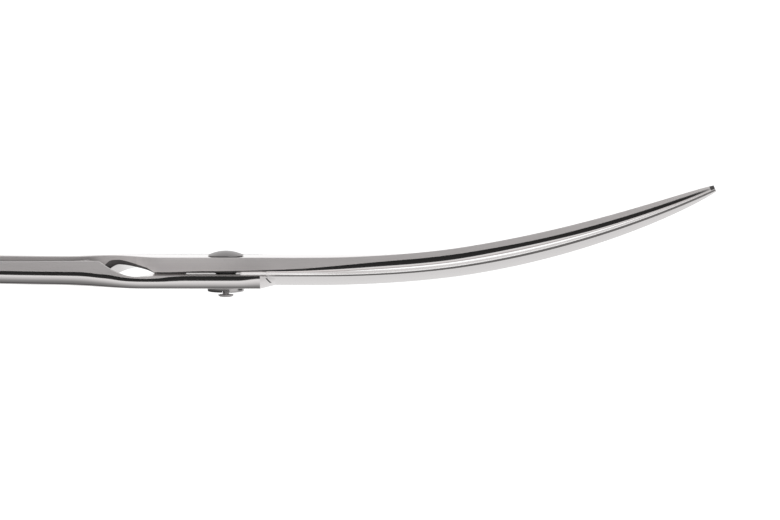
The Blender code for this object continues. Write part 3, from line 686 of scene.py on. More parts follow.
def block(name, size, centre):
    bm = bmesh.new()
    matrix = Matrix.Translation(Vector(centre) * MM) @ Matrix.Diagonal((*(Vector(size) * MM), 1))
    bmesh.ops.create_cube(bm, size=1, matrix=matrix)
    return link(name, bm)


def bow_frame(side):
    centre = place(BOW_X, BOW_SIDE, 0, side)
    return Matrix.Translation(centre) @ Matrix.Rotation(-bend_slope(BOW_X), 4, "Y")


def bow_ring(name, side, outline, steps=120):
    """A closed ring round a bow's centre. Its outline gives (radius, height) pairs at an angle."""
    seat = bow_frame(side)
    bm = bmesh.new()
    rings = []
    for angle in circle(steps):
        points = [seat @ at_angle(radius, angle, height) for radius, height in outline(angle)]
        rings.append([bm.verts.new(point) for point in points])
    stitch(bm, rings + rings[:1])
    return link(name, bm)


def wire_outline(angle, steps=28):
    """The bow's oval wire, the same at every angle round the bow."""
    wide, high = BOW_WIRE_WIDTH / 2, BOW_WIRE_HEIGHT / 2
    return [(BOW_WIRE_CENTRE + wide * cos(turn), high * sin(turn)) for turn in circle(steps)]


def insert_outline(angle, steps=18):
    """The sizing ring: a soft band with rounded lips, fluted where the finger touches it."""
    flute = GRIP_FLUTE_DEPTH * (0.5 - 0.5 * cos(GRIP_FLUTES * angle))
    outward = []
    inward = []
    for share in spaced(-1, 1, steps):
        turn = pi + INSERT_WRAP * share
        lip = sqrt(max(0, 1 - share**INSERT_LIP_POWER))
        wall = SEAT_GAP + (INSERT_WALL - flute * (1 - share**2)) * mix(INSERT_LIP_SHARE, 1, lip)
        for points, gap in ((outward, SEAT_GAP), (inward, wall)):
            radius = BOW_WIRE_CENTRE + (BOW_WIRE_WIDTH / 2 + gap) * cos(turn)
            points.append((radius, (BOW_WIRE_HEIGHT / 2 + gap) * sin(turn)))
    return outward + inward[::-1]


def rest_seat():
    """Where the finger rest enters its bow, with z straight out of the bow and x up."""
    outward = Vector((cos(REST_ANGLE), sin(REST_ANGLE), 0))
    up = Vector((0, 0, 1))
    turn = Matrix((up, outward.cross(up), outward)).transposed().to_4x4()
    return bow_frame(1) @ Matrix.Translation(outward * BOW_OUTER_RADIUS * MM) @ turn


def bore(name, steps, location, rotation=UPRIGHT):
    """A stepped cutter, from the (radius, low, high) of each of its steps upwards."""
    profile = [(0, steps[-1][2])]
    for radius, low, high in reversed(steps):
        profile += [(radius, high), (radius, low)]
    profile.append((0, steps[0][1]))
    return turned(name, profile, location, rotation)


def rounded(corners, steps=4):
    """A profile from (radius, height, rounding) corners, each rounded off where its rounding isn't 0."""
    points = []
    for number, (radius, height, rounding) in enumerate(corners):
        here = Vector((radius, height))
        if not rounding:
            points.append((radius, height))
            continue
        before = (Vector(corners[number - 1][:2]) - here).normalized()
        after = (Vector(corners[(number + 1) % len(corners)][:2]) - here).normalized()
        half = before.angle(after) / 2
        centre = here + (before + after).normalized() * rounding / sin(half)
        first = here + before * rounding / tan(half) - centre
        last = here + after * rounding / tan(half) - centre
        for share in spaced(0, 1, steps):
            points.append(tuple(centre + first.lerp(last, share).normalized() * rounding))
    return points


def pivot_bolt():
    """Low dome with the turner's centre mark, a square key under it and a shank with a tapped end."""
    seat = UPPER_FACE + HEAD_GAP
    rise = HEAD_HEIGHT - HEAD_RIM
    ball = (HEAD_RADIUS**2 + rise**2) / (2 * rise)
    crown = seat + HEAD_HEIGHT
    corners = [(0, crown - CENTRE_MARK_DEPTH, 0)]
    for radius in spaced(CENTRE_MARK_RADIUS, HEAD_RADIUS, CROWN_STEPS):
        corners.append((radius, crown - ball + sqrt(ball**2 - radius**2), 0))
    end = NUT_TOP + BOLT_END_INSET
    tapped = STEM_RADIUS + SEAT_GAP
    corners += [
        (HEAD_RADIUS, seat, HEAD_EDGE),
        (BOLT_RADIUS, seat, 0),
        (BOLT_RADIUS, end, 2 * HEAD_EDGE),
        (tapped, end, HEAD_EDGE),
        (tapped, end + TAPPED_DEPTH, 0),
        (0, end + TAPPED_DEPTH + DRILL_POINT, 0),
    ]
    bolt = turned("bolt_with_domed_head", rounded(corners), PIVOT_AT)
    low = UPPER_FACE - KEY_DEPTH
    high = seat + HEAD_RIM
    middle = MATING_HEIGHT + (low + high) / 2
    key = block("square_key", (KEY_SIDE, KEY_SIDE, high - low), (0, 0, middle))
    combine(bolt, [key], "UNION")
    return bolt


def tension_nut():
    """A round flange with broken edges, slotted across for the key, on a boss inside the lower blade."""
    bore_radius = BOLT_RADIUS + RUNNING_CLEARANCE
    boss = NUT_TOP + NUT_BOSS_HEIGHT
    corners = [
        (NUT_BOSS_RADIUS, boss, HEAD_EDGE),
        (NUT_BOSS_RADIUS, NUT_TOP, 0),
        (NUT_RADIUS, NUT_TOP, CAP_EDGE),
        (NUT_RADIUS, NUT_BOTTOM + NUT_CONE_RISE, NUT_EDGE),
        (bore_radius, NUT_BOTTOM, HEAD_EDGE),
        (bore_radius, boss, HEAD_EDGE),
    ]
    nut = turned("slotted_nut", rounded(corners), PIVOT_AT)
    size = (NUT_SLOT_WIDTH, 2 * (NUT_RADIUS + CUT_OVERRUN), NUT_SLOT_DEPTH + CUT_OVERRUN)
    middle = MATING_HEIGHT + NUT_BOTTOM + (NUT_SLOT_DEPTH - CUT_OVERRUN) / 2
    slot = block("key_slot", size, (0, 0, middle))
    combine(nut, [slot], "DIFFERENCE")
    return nut


def lock_screw():
    """A thin stem and a domed cap with a six-sided socket in its underside."""
    corners = [(0, CAP_TOP + STEM_LENGTH, 0), (STEM_RADIUS, CAP_TOP + STEM_LENGTH, HEAD_EDGE)]
    corners += [(STEM_RADIUS, CAP_TOP, 0), (CAP_RADIUS, CAP_TOP, CAP_EDGE / 2)]
    rim = CAP_TOP - CAP_EDGE
    for angle in spaced(0, pi / 2, CAP_STEPS):
        radius = CAP_FLAT_RADIUS + (CAP_RADIUS - CAP_FLAT_RADIUS) * cos(angle)
        corners.append((radius, mix(rim, CAP_BOTTOM, sin(angle)), 0))
    corners.append((0, CAP_BOTTOM, 0))
    screw = turned("capped_lock_screw", rounded(corners), PIVOT_AT)
    low = CAP_BOTTOM - CUT_OVERRUN
    deep = CAP_BOTTOM + SOCKET_DEPTH
    profile = [(0, deep), (SOCKET_RADIUS, deep), (SOCKET_RADIUS, low), (0, low)]
    combine(screw, [turned("socket", profile, PIVOT_AT, steps=6)], "DIFFERENCE")
    return screw


def spring_washer():
    """Dished round the nut's boss."""
    bore_radius = NUT_BOSS_RADIUS + SEAT_GAP
    outer = NUT_TOP + SEAT_GAP
    inner = outer + SPRING_DISH
    corners = [
        (SPRING_RADIUS, outer + SPRING_THICKNESS, HEAD_EDGE),
        (SPRING_RADIUS, outer, HEAD_EDGE),
        (bore_radius, inner, HEAD_EDGE),
        (bore_radius, inner + SPRING_THICKNESS, HEAD_EDGE),
    ]
    return turned("dished_washer", rounded(corners), PIVOT_AT)


def pivot_bush():
    """A plain black sleeve that keeps the blades apart at the bolt."""
    top = PIVOT_HALF_GAP + BUSH_STAND
    low = top - BUSH_LENGTH
    bore_radius = BOLT_RADIUS + RUNNING_CLEARANCE
    corners = [
        (BUSH_RADIUS, top, HEAD_EDGE), (BUSH_RADIUS, low, HEAD_EDGE),
        (bore_radius, low, HEAD_EDGE), (bore_radius, top, HEAD_EDGE),
    ]
    return turned("bush_sleeve", rounded(corners), PIVOT_AT)


def stop_seat():
    """Where the stop's stem enters the bow's inner side, and the turn that lays it there."""
    return place(BUMPER_X, SHANK_MID_GAP, 0, 1), Matrix.Rotation(pi / 2, 3, "X")


def stop_button():
    """A soft button on the finger bow's inner side, with its stem in the bow."""
    face = 2 * SHANK_MID_GAP - SEAT_GAP
    corners = [
        (0, face, 0),
        (BUMPER_RADIUS, face, BUMPER_ROUNDING),
        (BUMPER_RADIUS, SEAT_GAP, HEAD_EDGE),
        (BUMPER_STEM_RADIUS, SEAT_GAP, 0),
        (BUMPER_STEM_RADIUS, -BUMPER_STEM_LENGTH, HEAD_EDGE),
        (0, -BUMPER_STEM_LENGTH, 0),
    ]
    return turned("stop_button", rounded(corners, 10), *stop_seat())


def finger_rest(steps=48):
    """A hooked tang: a stud in the bow, a grooved collar and a tapered arm with a round end."""
    seat = rest_seat()
    bm = bmesh.new()
    rings = []

    def ring(out, aside, turn, radius):
        points = []
        for angle in circle(steps):
            wide = radius * cos(angle)
            spot = (radius * sin(angle), -aside - wide * cos(turn), out - wide * sin(turn))
            points.append(bm.verts.new(seat @ (Vector(spot) * MM)))
        rings.append(points)

    collar = SEAT_GAP + REST_COLLAR_LENGTH
    for out, radius in (
        (-REST_STUD_LENGTH, REST_STUD_RADIUS),
        (SEAT_GAP, REST_STUD_RADIUS),
        (SEAT_GAP, REST_ROOT_RADIUS - REST_EDGE),
        (SEAT_GAP + REST_EDGE_MIDDLE, REST_ROOT_RADIUS - REST_EDGE_MIDDLE),
        (SEAT_GAP + REST_EDGE, REST_ROOT_RADIUS),
        (collar - 3 * REST_COLLAR_GROOVE, REST_ROOT_RADIUS),
        (collar - 2 * REST_COLLAR_GROOVE, REST_ROOT_RADIUS - REST_COLLAR_GROOVE),
        (collar - REST_COLLAR_GROOVE, REST_ROOT_RADIUS),
    ):
        ring(out, 0, 0, radius)
    curl_radius = REST_LENGTH / REST_CURL
    for share in spaced(0, 1, REST_ARM_STEPS):
        turn = REST_CURL * share
        out, aside = collar + curl_radius * sin(turn), curl_radius * (1 - cos(turn))
        ring(out, aside, turn, mix(REST_ROOT_RADIUS, REST_TIP_RADIUS, share))
    for angle in spaced(0, pi / 2, REST_END_STEPS)[1:-1]:
        past = REST_TIP_RADIUS * sin(angle)
        ring(out + past * cos(turn), aside + past * sin(turn), turn, REST_TIP_RADIUS * cos(angle))
    stitch(bm, rings)
    bm.faces.new(rings[0])
    bm.faces.new(rings[-1])
    return link("hooked_finger_rest", bm)


def heel_line(near, far, outline, side):
    """Two slanting rings across the heel, with a dark line between them in the dark steel of the painted
    shade.
    """
    low, high = inner_faces(HEEL_X)[0], outer_face(HEEL_X, side)
    first = []
    last = []
    finishes = []
    for start, end, (u, t, finish) in zip(near, far, outline):
        depth = way(low, high, t)
        share = mix(*HEEL_LINE_SLANT, depth)
        first.append(start.lerp(end, share))
        last.append(start.lerp(end, share + HEEL_LINE_WIDTH))
        marked = u > 0 and HEEL_LINE_DEPTHS[0] < depth < HEEL_LINE_DEPTHS[1]
        finishes.append(PAINTED_SHADE if marked else finish)
    return first, last, finishes


def blade(name, side, steels):
    """One blade with its block and shank; the steels are the slots that its faces' finishes number."""
    places = []
    finishes = []
    for x in stations():
        outline = section(x, side)
        ring = [place(x, u, t, side) for u, t, finish in outline]
        found = [finish for u, t, finish in outline]
        if x == BLADE_START_X:
            first, last, line = heel_line(places[-1], ring, section(HEEL_X, side), side)
            places += [first, last]
            finishes += [line, found]
        places.append(ring)
        finishes.append(found)
    bm = bmesh.new()
    rings = [[bm.verts.new(point) for point in ring] for ring in places]
    stitch(bm, rings, finishes)
    bm.faces.new(rings[0])
    bm.faces.new(rings[-1])
    obj = link(name, bm)
    for steel in steels:
        obj.data.materials.append(steel)
    return obj


def at_level(tint, level):
    """The tint, darker or lighter."""
    return [min(1, part * level) for part in tint]


class Value:
    """A socket that takes part in Python arithmetic: each operator adds a Math node."""

    def __init__(self, graph, socket):
        self.graph = graph
        self.socket = socket

    def math(self, operation, *others):
        node = self.graph.nodes.new("ShaderNodeMath")
        node.operation = operation
        for slot, value in zip(node.inputs, (self, *others)):
            self.graph.feed(slot, value)
        return Value(self.graph, node.outputs[0])

    def __add__(self, other):
        return self.math("ADD", other)

    def __sub__(self, other):
        return self.math("SUBTRACT", other)

    def __rsub__(self, other):
        return (self * -1) + other

    def __mul__(self, other):
        return self.math("MULTIPLY", other)

    __rmul__ = __mul__

    def __truediv__(self, other):
        return self.math("DIVIDE", other)

    def __pow__(self, other):
        return self.math("POWER", other)


class Graph:
    """The node tree of one finish, cleared, with short ways to add to it."""

    def __init__(self, tree, material=None):
        self.tree = tree
        self.nodes = tree.nodes
        self.material = material
        tree.nodes.clear()

    def feed(self, socket, value):
        if isinstance(value, Value):
            self.tree.links.new(value.socket, socket)
        else:
            socket.default_value = value

    def node(self, kind, settings=None, output=0, **inputs):
        """Adds a node, makes its settings, then feeds its sockets by name, and returns one output.

        Where a name stands twice on a node, the second socket goes by its identifier, as shader_001.
        """
        node = self.nodes.new(kind)
        for name, value in (settings or {}).items():
            if name == "stops":
                ramp = node.color_ramp.elements
                while len(ramp) > 1:
                    ramp.remove(ramp[-1])
                for number, (position, colour) in enumerate(value):
                    stop = ramp[0] if number == 0 else ramp.new(position)
                    stop.position = position
                    stop.color = colour
            else:
                setattr(node, name, value)
        for name, value in inputs.items():
            for socket in node.inputs:
                known = [text.lower().replace(" ", "_") for text in (socket.name, socket.identifier)]
                if name in known and socket.enabled:
                    self.feed(socket, value)
                    break
            else:
                raise RuntimeError(f"{kind} has no input {name}")
        if output is None:
            return [Value(self, socket) for socket in node.outputs]
        return Value(self, node.outputs[output]) if node.outputs else node

    def split(self, kind):
        """The three parts of a texture coordinate: 0 is the generated one, 3 the object's own."""
        place = self.node("ShaderNodeTexCoord", None, kind)
        return self.node("ShaderNodeSeparateXYZ", None, None, vector=place)

    def noise(self, place, scale, detail=2.0, roughness=0.5):
        """Noise at a place in metres, with so many of its units to the metre in each direction."""
        x, y, z = (part * units for part, units in zip(place, scale))
        vector = self.node("ShaderNodeCombineXYZ", x=x, y=y, z=z)
        return self.node(
            "ShaderNodeTexNoise", vector=vector, scale=1.0, detail=detail, roughness=roughness
        )

    def rise(self, value, low, high):
        """From 0 to 1, softly, while the value goes from low to high."""
        return self.node(
            "ShaderNodeMapRange", {"interpolation_type": "SMOOTHSTEP"}, value=value,
            from_min=low, from_max=high, to_min=0.0, to_max=1.0,
        )

    def blend(self, share, first, second):
        """A colour between two colours."""
        return self.node("ShaderNodeMix", {"data_type": "RGBA"}, 2, factor=share, a=first, b=second)

    def tones(self, share, tint, low, high):
        """A colour between two levels of one tint."""
        return self.blend(share, at_level(tint, low) + [1], at_level(tint, high) + [1])

    def finish(self, base, roughness, metallic, height, strength, distance):
        """The surface: a Principled shader with its grain as a bump."""
        grain = self.node("ShaderNodeBump", height=height, strength=strength, distance=distance)
        surface = self.node(
            "ShaderNodeBsdfPrincipled",
            base_color=base, roughness=roughness, metallic=metallic, normal=grain,
        )
        self.node("ShaderNodeOutputMaterial", surface=surface)
        return self.material


def new_finish(name):
    material = bpy.data.materials.new(name)
    material.use_nodes = True
    return Graph(material.node_tree, material)


def along_blade(graph):
    """The place along the tool, across it, and above the curve of the blades, in metres."""
    x, y, z = graph.split(3)
    past = (x / MM - BEND_START_X).math("MAXIMUM", 0.0) / (TIP_X - BEND_START_X)
    return x, y, z - past ** 2 * (BEND_RISE * MM)


def polished_steel(name, tint, roughness):
    """Buffed to a mirror, with faint wipe marks and hairlines along the tool."""
    graph = new_finish(name)
    place = along_blade(graph)
    hairs = graph.noise(place, (60, 9000, 9000), 3.0)
    wipes = graph.noise(place, (90, 160, 160), 3.0)
    rough = hairs * 0.03 + wipes * 0.04 + (roughness - 0.03)
    return graph.finish(graph.tones(wipes, tint, 0.97, 1.02), rough, 1.0, hairs, 0.02, 0.00001)


def satin_grain(graph, place, spacing, roughness):
    """The close, shallow, broken lines of a belt along the tool, and the roughness that they give."""
    lines = graph.noise(place, (110, 1 / spacing, 1 / spacing), 4.0, 0.6)
    cloud = graph.noise(place, (150, 300, 300))
    return lines, lines * 0.10 + cloud * 0.05 + (roughness - 0.07)


def satin_steel(name, tint, roughness, spacing, painted_shade_level=1.0):
    """Belt-ground along the tool, with painted light brightest near the pivot. The kind with painted
    shade is darker on the edge and on the block's outer land.
    """
    graph = new_finish(name)
    place = along_blade(graph)
    x, y, height = place
    lines, rough = satin_grain(graph, place, spacing, roughness)
    coarse = graph.noise(place, (40, 0.2 / spacing, 0.2 / spacing))
    # Painted light: lighter round the pivot, fading along the tool either way.
    bright = (x / MM - SATIN_BRIGHT_X) / SATIN_BRIGHT_RUN
    bright = (1 - bright * bright).math("MAXIMUM", 0.0) * SATIN_BRIGHT_GAIN
    mottle_and_painted_light = lines * 0.3 + coarse * 0.2 + bright
    shade = graph.tones(mottle_and_painted_light, tint, *SATIN_LEVELS)
    # Painted shade: darker on the block's outer land and on the edge.
    if painted_shade_level < 1:
        land = graph.rise(y.math("ABSOLUTE"), *PAINTED_SHADE_ACROSS) * graph.rise(x, *PAINTED_SHADE_LAND_ALONG)
        dark = graph.tones(mottle_and_painted_light, at_level(tint, painted_shade_level), *SATIN_LEVELS)
        shade = graph.blend(land.math("MAXIMUM", graph.rise(x, *PAINTED_SHADE_EDGE_ALONG)), shade, dark)
    return graph.finish(shade, rough, 1.0, lines * 0.7 + coarse * 0.3, 0.25, 0.00002)


def inward_steel(name, tint, roughness, spacing):
    """Satin on the sides that face the other shank, darker towards the bows with painted shade."""
    graph = new_finish(name)
    place = along_blade(graph)
    lines, rough = satin_grain(graph, place, spacing, roughness)
    # Painted shade: darker towards the bows.
    reach = graph.rise(place[0], *INWARD_SHADE_ALONG)
    shade = graph.tones(reach * 0.8 + lines * 0.2, tint, 0.63, 1.02)
    return graph.finish(shade, rough, 1.0, lines, 0.25, 0.00002)


def recess_steel(name, tint, roughness):
    """Painted shade: dark steel with a mottled skin, for the roll under the spine's facet and the tip's
    facet.
    """
    graph = new_finish(name)
    skin = graph.noise(along_blade(graph), (900, 2500, 2500), 3.0, 0.6)
    shade = graph.tones(skin, tint, 0.08, 0.20)
    return graph.finish(shade, skin * 0.15 + roughness, 1.0, skin, 0.2, 0.00002)


def ground_steel(name, tint, roughness, spacing):
    """The hollow inner face: fine arcs across the blade, as a grinding wheel leaves them."""
    graph = new_finish(name)
    x, y, height = along_blade(graph)
    arcs = graph.noise((x + y * y * WHEEL_ARC, y, height), (1 / spacing, 120, 200), 4.0, 0.6)
    cloud = graph.noise((x, y, height), (120, 200, 200))
    rough = arcs * 0.12 + cloud * 0.05 + (roughness - 0.06)
    return graph.finish(graph.tones(arcs, tint, 0.90, 1.06), rough, 1.0, arcs, 0.2, 0.00002)


def turned_steel(name, tint, roughness, metallic=1.0, spacing=0.00008):
    """Lathe rings round the pivot axis, with a little wear."""
    graph = new_finish(name)
    x, y, z = graph.split(3)
    rings = graph.noise(((x * x + y * y).math("SQRT"), z, 0.0), (1 / spacing, 1 / spacing, 1))
    cloud = graph.noise((x, y, z), (700, 700, 700), 3.0)
    rough = rings * 0.10 + cloud * 0.10 + (roughness - 0.08)
    shade = graph.tones(rings * 0.5 + cloud * 0.5, tint, 0.85, 1.12)
    return graph.finish(shade, rough, metallic, rings, 0.3, 0.00001)


def moulded(name, tint, roughness, grain, strength):
    """Rubber or plastic with a fine moulded grain and a little dust in it."""
    graph = new_finish(name)
    place = graph.split(3)
    skin = graph.noise(place, [1 / grain] * 3, 3.0, 0.6)
    cloud = graph.noise(place, (220, 220, 220), 3.0)
    rough = skin * 0.12 + cloud * 0.1 + (roughness - 0.1)
    shade = graph.tones(skin * 0.5 + cloud * 0.5, tint, 0.7, 1.5)
    return graph.finish(shade, rough, 0.0, skin, strength, 0.00005)


class ScissorsFinish(PropertyGroup):
    steel: FloatVectorProperty(
        name="Steel", description="Tint of the polished steel", subtype="COLOR", size=3,
        min=0, max=1, default=(0.88, 0.85, 0.845),
    )
    satin: FloatVectorProperty(
        name="Satin steel", description="Tint of the belt-ground flats", subtype="COLOR", size=3,
        min=0, max=1, default=(0.785, 0.75, 0.745),
    )
    pivot: FloatVectorProperty(
        name="Pivot steel", description="Tint of the bolt head, nut and lock screw", subtype="COLOR",
        size=3, min=0, max=1, default=(0.38, 0.366, 0.366),
    )
    rubber: FloatVectorProperty(
        name="Rubber", description="Tint of the sizing rings and the stop", subtype="COLOR", size=3,
        min=0, max=1, default=(0.035, 0.035, 0.038),
    )
    polish: FloatProperty(
        name="Polish", description="Roughness of the buffed surfaces", subtype="FACTOR",
        min=0.02, max=0.4, default=0.08,
    )
    satin_roughness: FloatProperty(
        name="Satin", description="Roughness of the belt-ground flats", subtype="FACTOR",
        min=0.1, max=0.6, default=0.5,
    )
    line_spacing: FloatProperty(
        name="Line spacing", description="Distance between grinding lines", subtype="DISTANCE",
        unit="LENGTH", min=0.00002, max=0.001, default=0.00009,
    )


class ScissorsStudio(PropertyGroup):
    floor_depth: FloatProperty(
        name="Floor depth", description="How far the floor lies below the scissors",
        subtype="DISTANCE", unit="LENGTH", min=0, max=1, default=0.075,
    )
    camera_height: FloatProperty(
        name="Camera elevation", description="Angle of the camera above the horizon", subtype="ANGLE",
        unit="ROTATION", default=radians(5),
    )
    camera_distance: FloatProperty(
        name="Camera distance", description="From the camera to the middle of the picture",
        subtype="DISTANCE", unit="LENGTH", default=1.0,
    )
    picture_width: FloatProperty(
        name="Picture width", description="Width of the view at the scissors", subtype="DISTANCE",
        unit="LENGTH", default=0.1737,
    )
    picture_width_px: IntProperty(
        name="Picture width in pixels", description="Pixels across the picture", subtype="PIXEL",
        default=780,
    )
    light: FloatProperty(
        name="Light", description="Level of the studio light", min=0.1, max=3, default=1.0,
    )


def dress(piece, finish):
    smooth(piece, 30)
    piece.data.materials.clear()
    piece.data.materials.append(finish)


def show(piece, body, slot, *nodes):
    """Puts a finished piece under its body and hides the solids that it stands for. The slot is not used.
    """
    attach(piece, body)
    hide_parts(*nodes)


class SCISSORS_OT_blades(Operator):
    """Draw both blades with their blocks, shanks and bows"""

    bl_idname = "grooming_scissors.blades"
    bl_label = "Blades and shanks"

    def execute(self, context):
        look = context.scene.scissors_finish
        satin = (look.satin, look.satin_roughness, look.line_spacing)
        bright = at_level(look.steel, 1.12)
        # The satin has painted light near the pivot; the inward satin, the dark steel and the last satin
        # carry painted shade.
        steels = [
            polished_steel("polished_blade_steel", look.steel, look.polish),
            satin_steel("satin_blade_steel", *satin),
            ground_steel("hollow_ground_steel", bright, look.polish + 0.1, look.line_spacing),
            inward_steel("inward_satin_steel", *satin),
            recess_steel("recess_steel", look.steel, look.polish + 0.25),
            satin_steel("honed_steel", *satin, PAINTED_SHADE_LEVEL),
        ]
        top = UPPER_FACE + CUT_OVERRUN
        recess = PIVOT_HALF_GAP + BUSH_RECESS
        bush = BUSH_RADIUS + RUNNING_CLEARANCE
        bolt = BOLT_RADIUS + RUNNING_CLEARANCE
        upper = blade("upper_blade_steel", 1, steels)
        combine(upper, [bow_ring("finger_bow", 1, wire_outline)], "UNION")
        floor = UPPER_FACE - KEY_DEPTH - RUNNING_CLEARANCE
        side = KEY_SIDE + 2 * RUNNING_CLEARANCE
        middle = MATING_HEIGHT + (top + floor) / 2
        stem = [(BUMPER_STEM_RADIUS + SEAT_GAP, -BUMPER_STEM_LENGTH - SEAT_GAP, CUT_OVERRUN)]
        stud = [(REST_STUD_RADIUS + SEAT_GAP, -REST_STUD_LENGTH - SEAT_GAP, CUT_OVERRUN)]
        seat = rest_seat()
        cuts = [
            block("key_pocket", (side, side, top - floor), (0, 0, middle)),
            bore("bolt_bore", [(bush, -CUT_OVERRUN, recess), (bolt, recess, top)], PIVOT_AT),
            bore("bumper_bore", stem, *stop_seat()),
            bore("rest_bore", stud, seat.translation, seat.to_3x3()),
        ]
        combine(upper, cuts, "DIFFERENCE")
        lower = blade("lower_blade_steel", -1, steels)
        combine(lower, [bow_ring("thumb_bow", -1, wire_outline)], "UNION")
        ceiling = NUT_TOP + NUT_BOSS_HEIGHT + SEAT_GAP
        spring = SPRING_RADIUS + RUNNING_CLEARANCE
        steps = [(spring, -LOWER_FACE - CUT_OVERRUN, ceiling), (bush, ceiling, CUT_OVERRUN)]
        combine(lower, [bore("bush_bore", steps, PIVOT_AT)], "DIFFERENCE")
        for piece, body, node in ((upper, "upper", "upper_blade"), (lower, "lower", "lower_blade")):
            smooth(piece)
            show(piece, body, "blade_steel", node)
        return {"FINISHED"}


class SCISSORS_OT_pivot(Operator):
    """Finish the bolt, nut, lock screw, spring and bush of the pivot"""

    bl_idname = "grooming_scissors.pivot"
    bl_label = "Pivot hardware"

    def execute(self, context):
        look = context.scene.scissors_finish
        head = turned_steel("bolt_head_steel", look.pivot, 0.34)
        nut = turned_steel("nut_steel_turned", at_level(look.pivot, 1.6), 0.16)
        screw = turned_steel("lock_screw_steel", at_level(look.pivot, 1.7), 0.5, metallic=0.5)
        spring = turned_steel("spring_steel_tempered", at_level(look.pivot, 0.8), 0.35)
        plastic = moulded("bush_acetal", (0.02, 0.02, 0.02), 0.4, grain=0.00012, strength=0.1)
        for make, finish, body, slot, node in (
            (pivot_bolt, head, "upper", "bolt_steel", "pivot_bolt"),
            (tension_nut, nut, "nut", "nut_steel", "tension_nut"),
            (lock_screw, screw, "upper", "screw_steel", "lock_screw"),
            (spring_washer, spring, "lower", "spring_steel", "spring_washer"),
            (pivot_bush, plastic, "lower", "bush_plastic", "pivot_bush"),
        ):
            piece = make()
            dress(piece, finish)
            show(piece, body, slot, node)
        return {"FINISHED"}


class SCISSORS_OT_grips(Operator):
    """Finish the sizing rings, the stop and the finger rest"""

    bl_idname = "grooming_scissors.grips"
    bl_label = "Rings, stop and finger rest"

    def execute(self, context):
        look = context.scene.scissors_finish
        ring = moulded("sizing_ring_rubber", look.rubber, 0.55, grain=0.0002, strength=0.25)
        stop = moulded("stop_rubber", look.rubber, 0.6, grain=0.00015, strength=0.3)
        rest = polished_steel("finger_rest_steel", look.steel, look.polish + 0.04)
        finger = bow_ring("finger_sizing_ring", 1, insert_outline, INSERT_STEPS)
        thumb = bow_ring("thumb_sizing_ring", -1, insert_outline, INSERT_STEPS)
        for piece, finish, body, slot, node in (
            (finger, ring, "upper", "ring_rubber", "finger_insert"),
            (thumb, ring, "lower", "ring_rubber", "thumb_insert"),
            (stop_button(), stop, "upper", "bumper_rubber", "bumper"),
            (finger_rest(), rest, "upper", "rest_steel", "finger_rest"),
        ):
            dress(piece, finish)
            show(piece, body, slot, node)
        return {"FINISHED"}


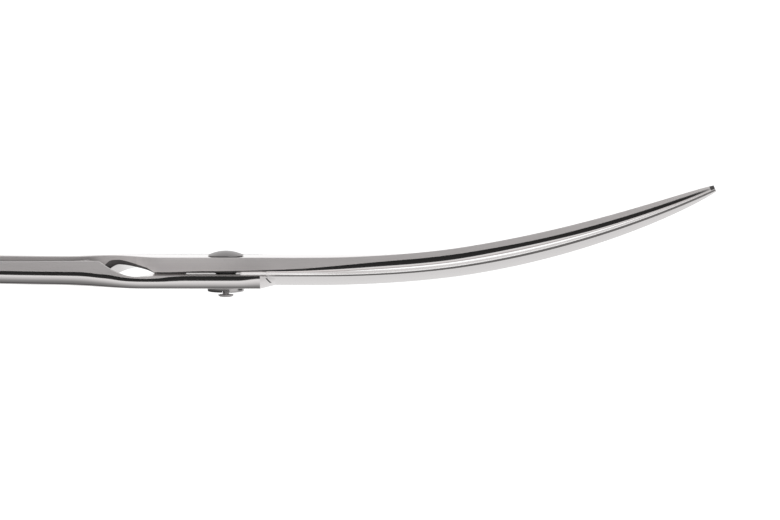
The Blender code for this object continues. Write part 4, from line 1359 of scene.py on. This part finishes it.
class SCISSORS_OT_studio(Operator):
    """Set the camera, the pale floor and the soft studio light"""

    bl_idname = "grooming_scissors.studio"
    bl_label = "Studio"

    def execute(self, context):
        studio = context.scene.scissors_studio
        self.floor(studio)
        self.light(context.scene, studio)
        self.camera(context.scene, studio)
        context.scene.view_settings.view_transform = "Standard"
        return {"FINISHED"}

    def floor(self, studio):
        bm = bmesh.new()
        bmesh.ops.create_grid(bm, x_segments=1, y_segments=1, size=FLOOR_HALF_SIDE)
        floor = link("studio_floor", bm)
        floor.location.z = -studio.floor_depth
        graph = new_finish("pale_floor")
        diffuse = graph.node("ShaderNodeBsdfDiffuse", color=(0.86, 0.86, 0.86, 1))
        seen = graph.node("ShaderNodeLightPath")
        glow = graph.node("ShaderNodeEmission", color=(1, 1, 1, 1), strength=seen * 0.5)
        both = graph.node("ShaderNodeAddShader", shader=diffuse, shader_001=glow)
        graph.node("ShaderNodeOutputMaterial", surface=both)
        floor.data.materials.append(graph.material)
        floor.visible_glossy = False

    def light(self, scene, studio):
        """A bright room with a dark card low in front, which draws the black lines on the steel."""
        world = bpy.data.worlds.new("studio_light")
        world.use_nodes = True
        scene.world = world
        graph = Graph(world.node_tree)
        x, y, z = graph.split(0)
        level = z * 0.5 + 0.5

        def ramp(greys):
            stops = [((height + 1) / 2, (grey, grey, grey, 1)) for height, grey in greys]
            return graph.node("ShaderNodeValToRGB", {"stops": stops}, fac=level)

        def share(value):
            return value.math("MAXIMUM", 0.0).math("MINIMUM", 1.0)

        # The back, the sides and the slit at the blade's end take over as a direction turns that way.
        surround = graph.blend(share(y * 3.0 + 0.5), ramp(FRONT_GREYS), ramp(BACK_GREYS))
        for reach, greys in (
            (share(x * -3.0 - 0.7), LEFT_GREYS),
            (share(x * 6.0 - 1.9) * share(y * -4.0 + 1.0), RIGHT_GREYS),
            (share(x * 5.0 - 3.2) * share(y * 4.0 + 1.0), SLIT_GREYS),
        ):
            surround = graph.blend(reach, surround, ramp(greys))
        room = graph.node("ShaderNodeBackground", color=surround, strength=studio.light)
        white = graph.node("ShaderNodeBackground", color=(1, 1, 1, 1), strength=1.0)
        seen = graph.node("ShaderNodeLightPath")
        choose = graph.node("ShaderNodeMixShader", fac=seen, shader=room, shader_001=white)
        graph.node("ShaderNodeOutputWorld", surface=choose)

    def camera(self, scene, studio):
        data = bpy.data.cameras.new("picture_camera")
        data.sensor_width = SENSOR_WIDTH
        data.lens = SENSOR_WIDTH * studio.camera_distance / studio.picture_width
        camera = bpy.data.objects.new("picture_camera", data)
        scene.collection.objects.link(camera)
        scale = studio.picture_width_px / studio.picture_width
        up = studio.camera_height
        offset = (MIDDLE_PX - PIVOT_PX) / scale
        target = PIVOT_AT + Vector((offset.x, 0, -offset.y / cos(up)))
        camera.location = target + Vector((0, -cos(up), sin(up))) * studio.camera_distance
        camera.rotation_euler = (pi / 2 - up, 0, 0)
        scene.camera = camera


class SCISSORS_PT_steps(Panel):
    """The steps of the dressing, in order, with their settings"""

    bl_idname = "SCISSORS_PT_steps"
    bl_label = "Grooming scissors"
    bl_space_type = "VIEW_3D"
    bl_region_type = "UI"
    bl_category = "Scissors"

    def draw(self, context):
        layout = self.layout
        for settings in (context.scene.scissors_finish, context.scene.scissors_studio):
            for name in settings.__annotations__:
                layout.prop(settings, name)
        for step in STEPS:
            layout.operator(step.bl_idname)


STEPS = (SCISSORS_OT_blades, SCISSORS_OT_pivot, SCISSORS_OT_grips, SCISSORS_OT_studio)
CLASSES = (ScissorsFinish, ScissorsStudio, *STEPS, SCISSORS_PT_steps)


def register():
    for cls in CLASSES:
        bpy.utils.register_class(cls)
    bpy.types.Scene.scissors_finish = PointerProperty(type=ScissorsFinish)
    bpy.types.Scene.scissors_studio = PointerProperty(type=ScissorsStudio)


def unregister():
    del bpy.types.Scene.scissors_studio
    del bpy.types.Scene.scissors_finish
    for cls in reversed(CLASSES):
        bpy.utils.unregister_class(cls)


def main():
    register()
    bpy.ops.grooming_scissors.blades()
    bpy.ops.grooming_scissors.pivot()
    bpy.ops.grooming_scissors.grips()
    bpy.ops.grooming_scissors.studio()


if __name__ == "__main__":
    main()
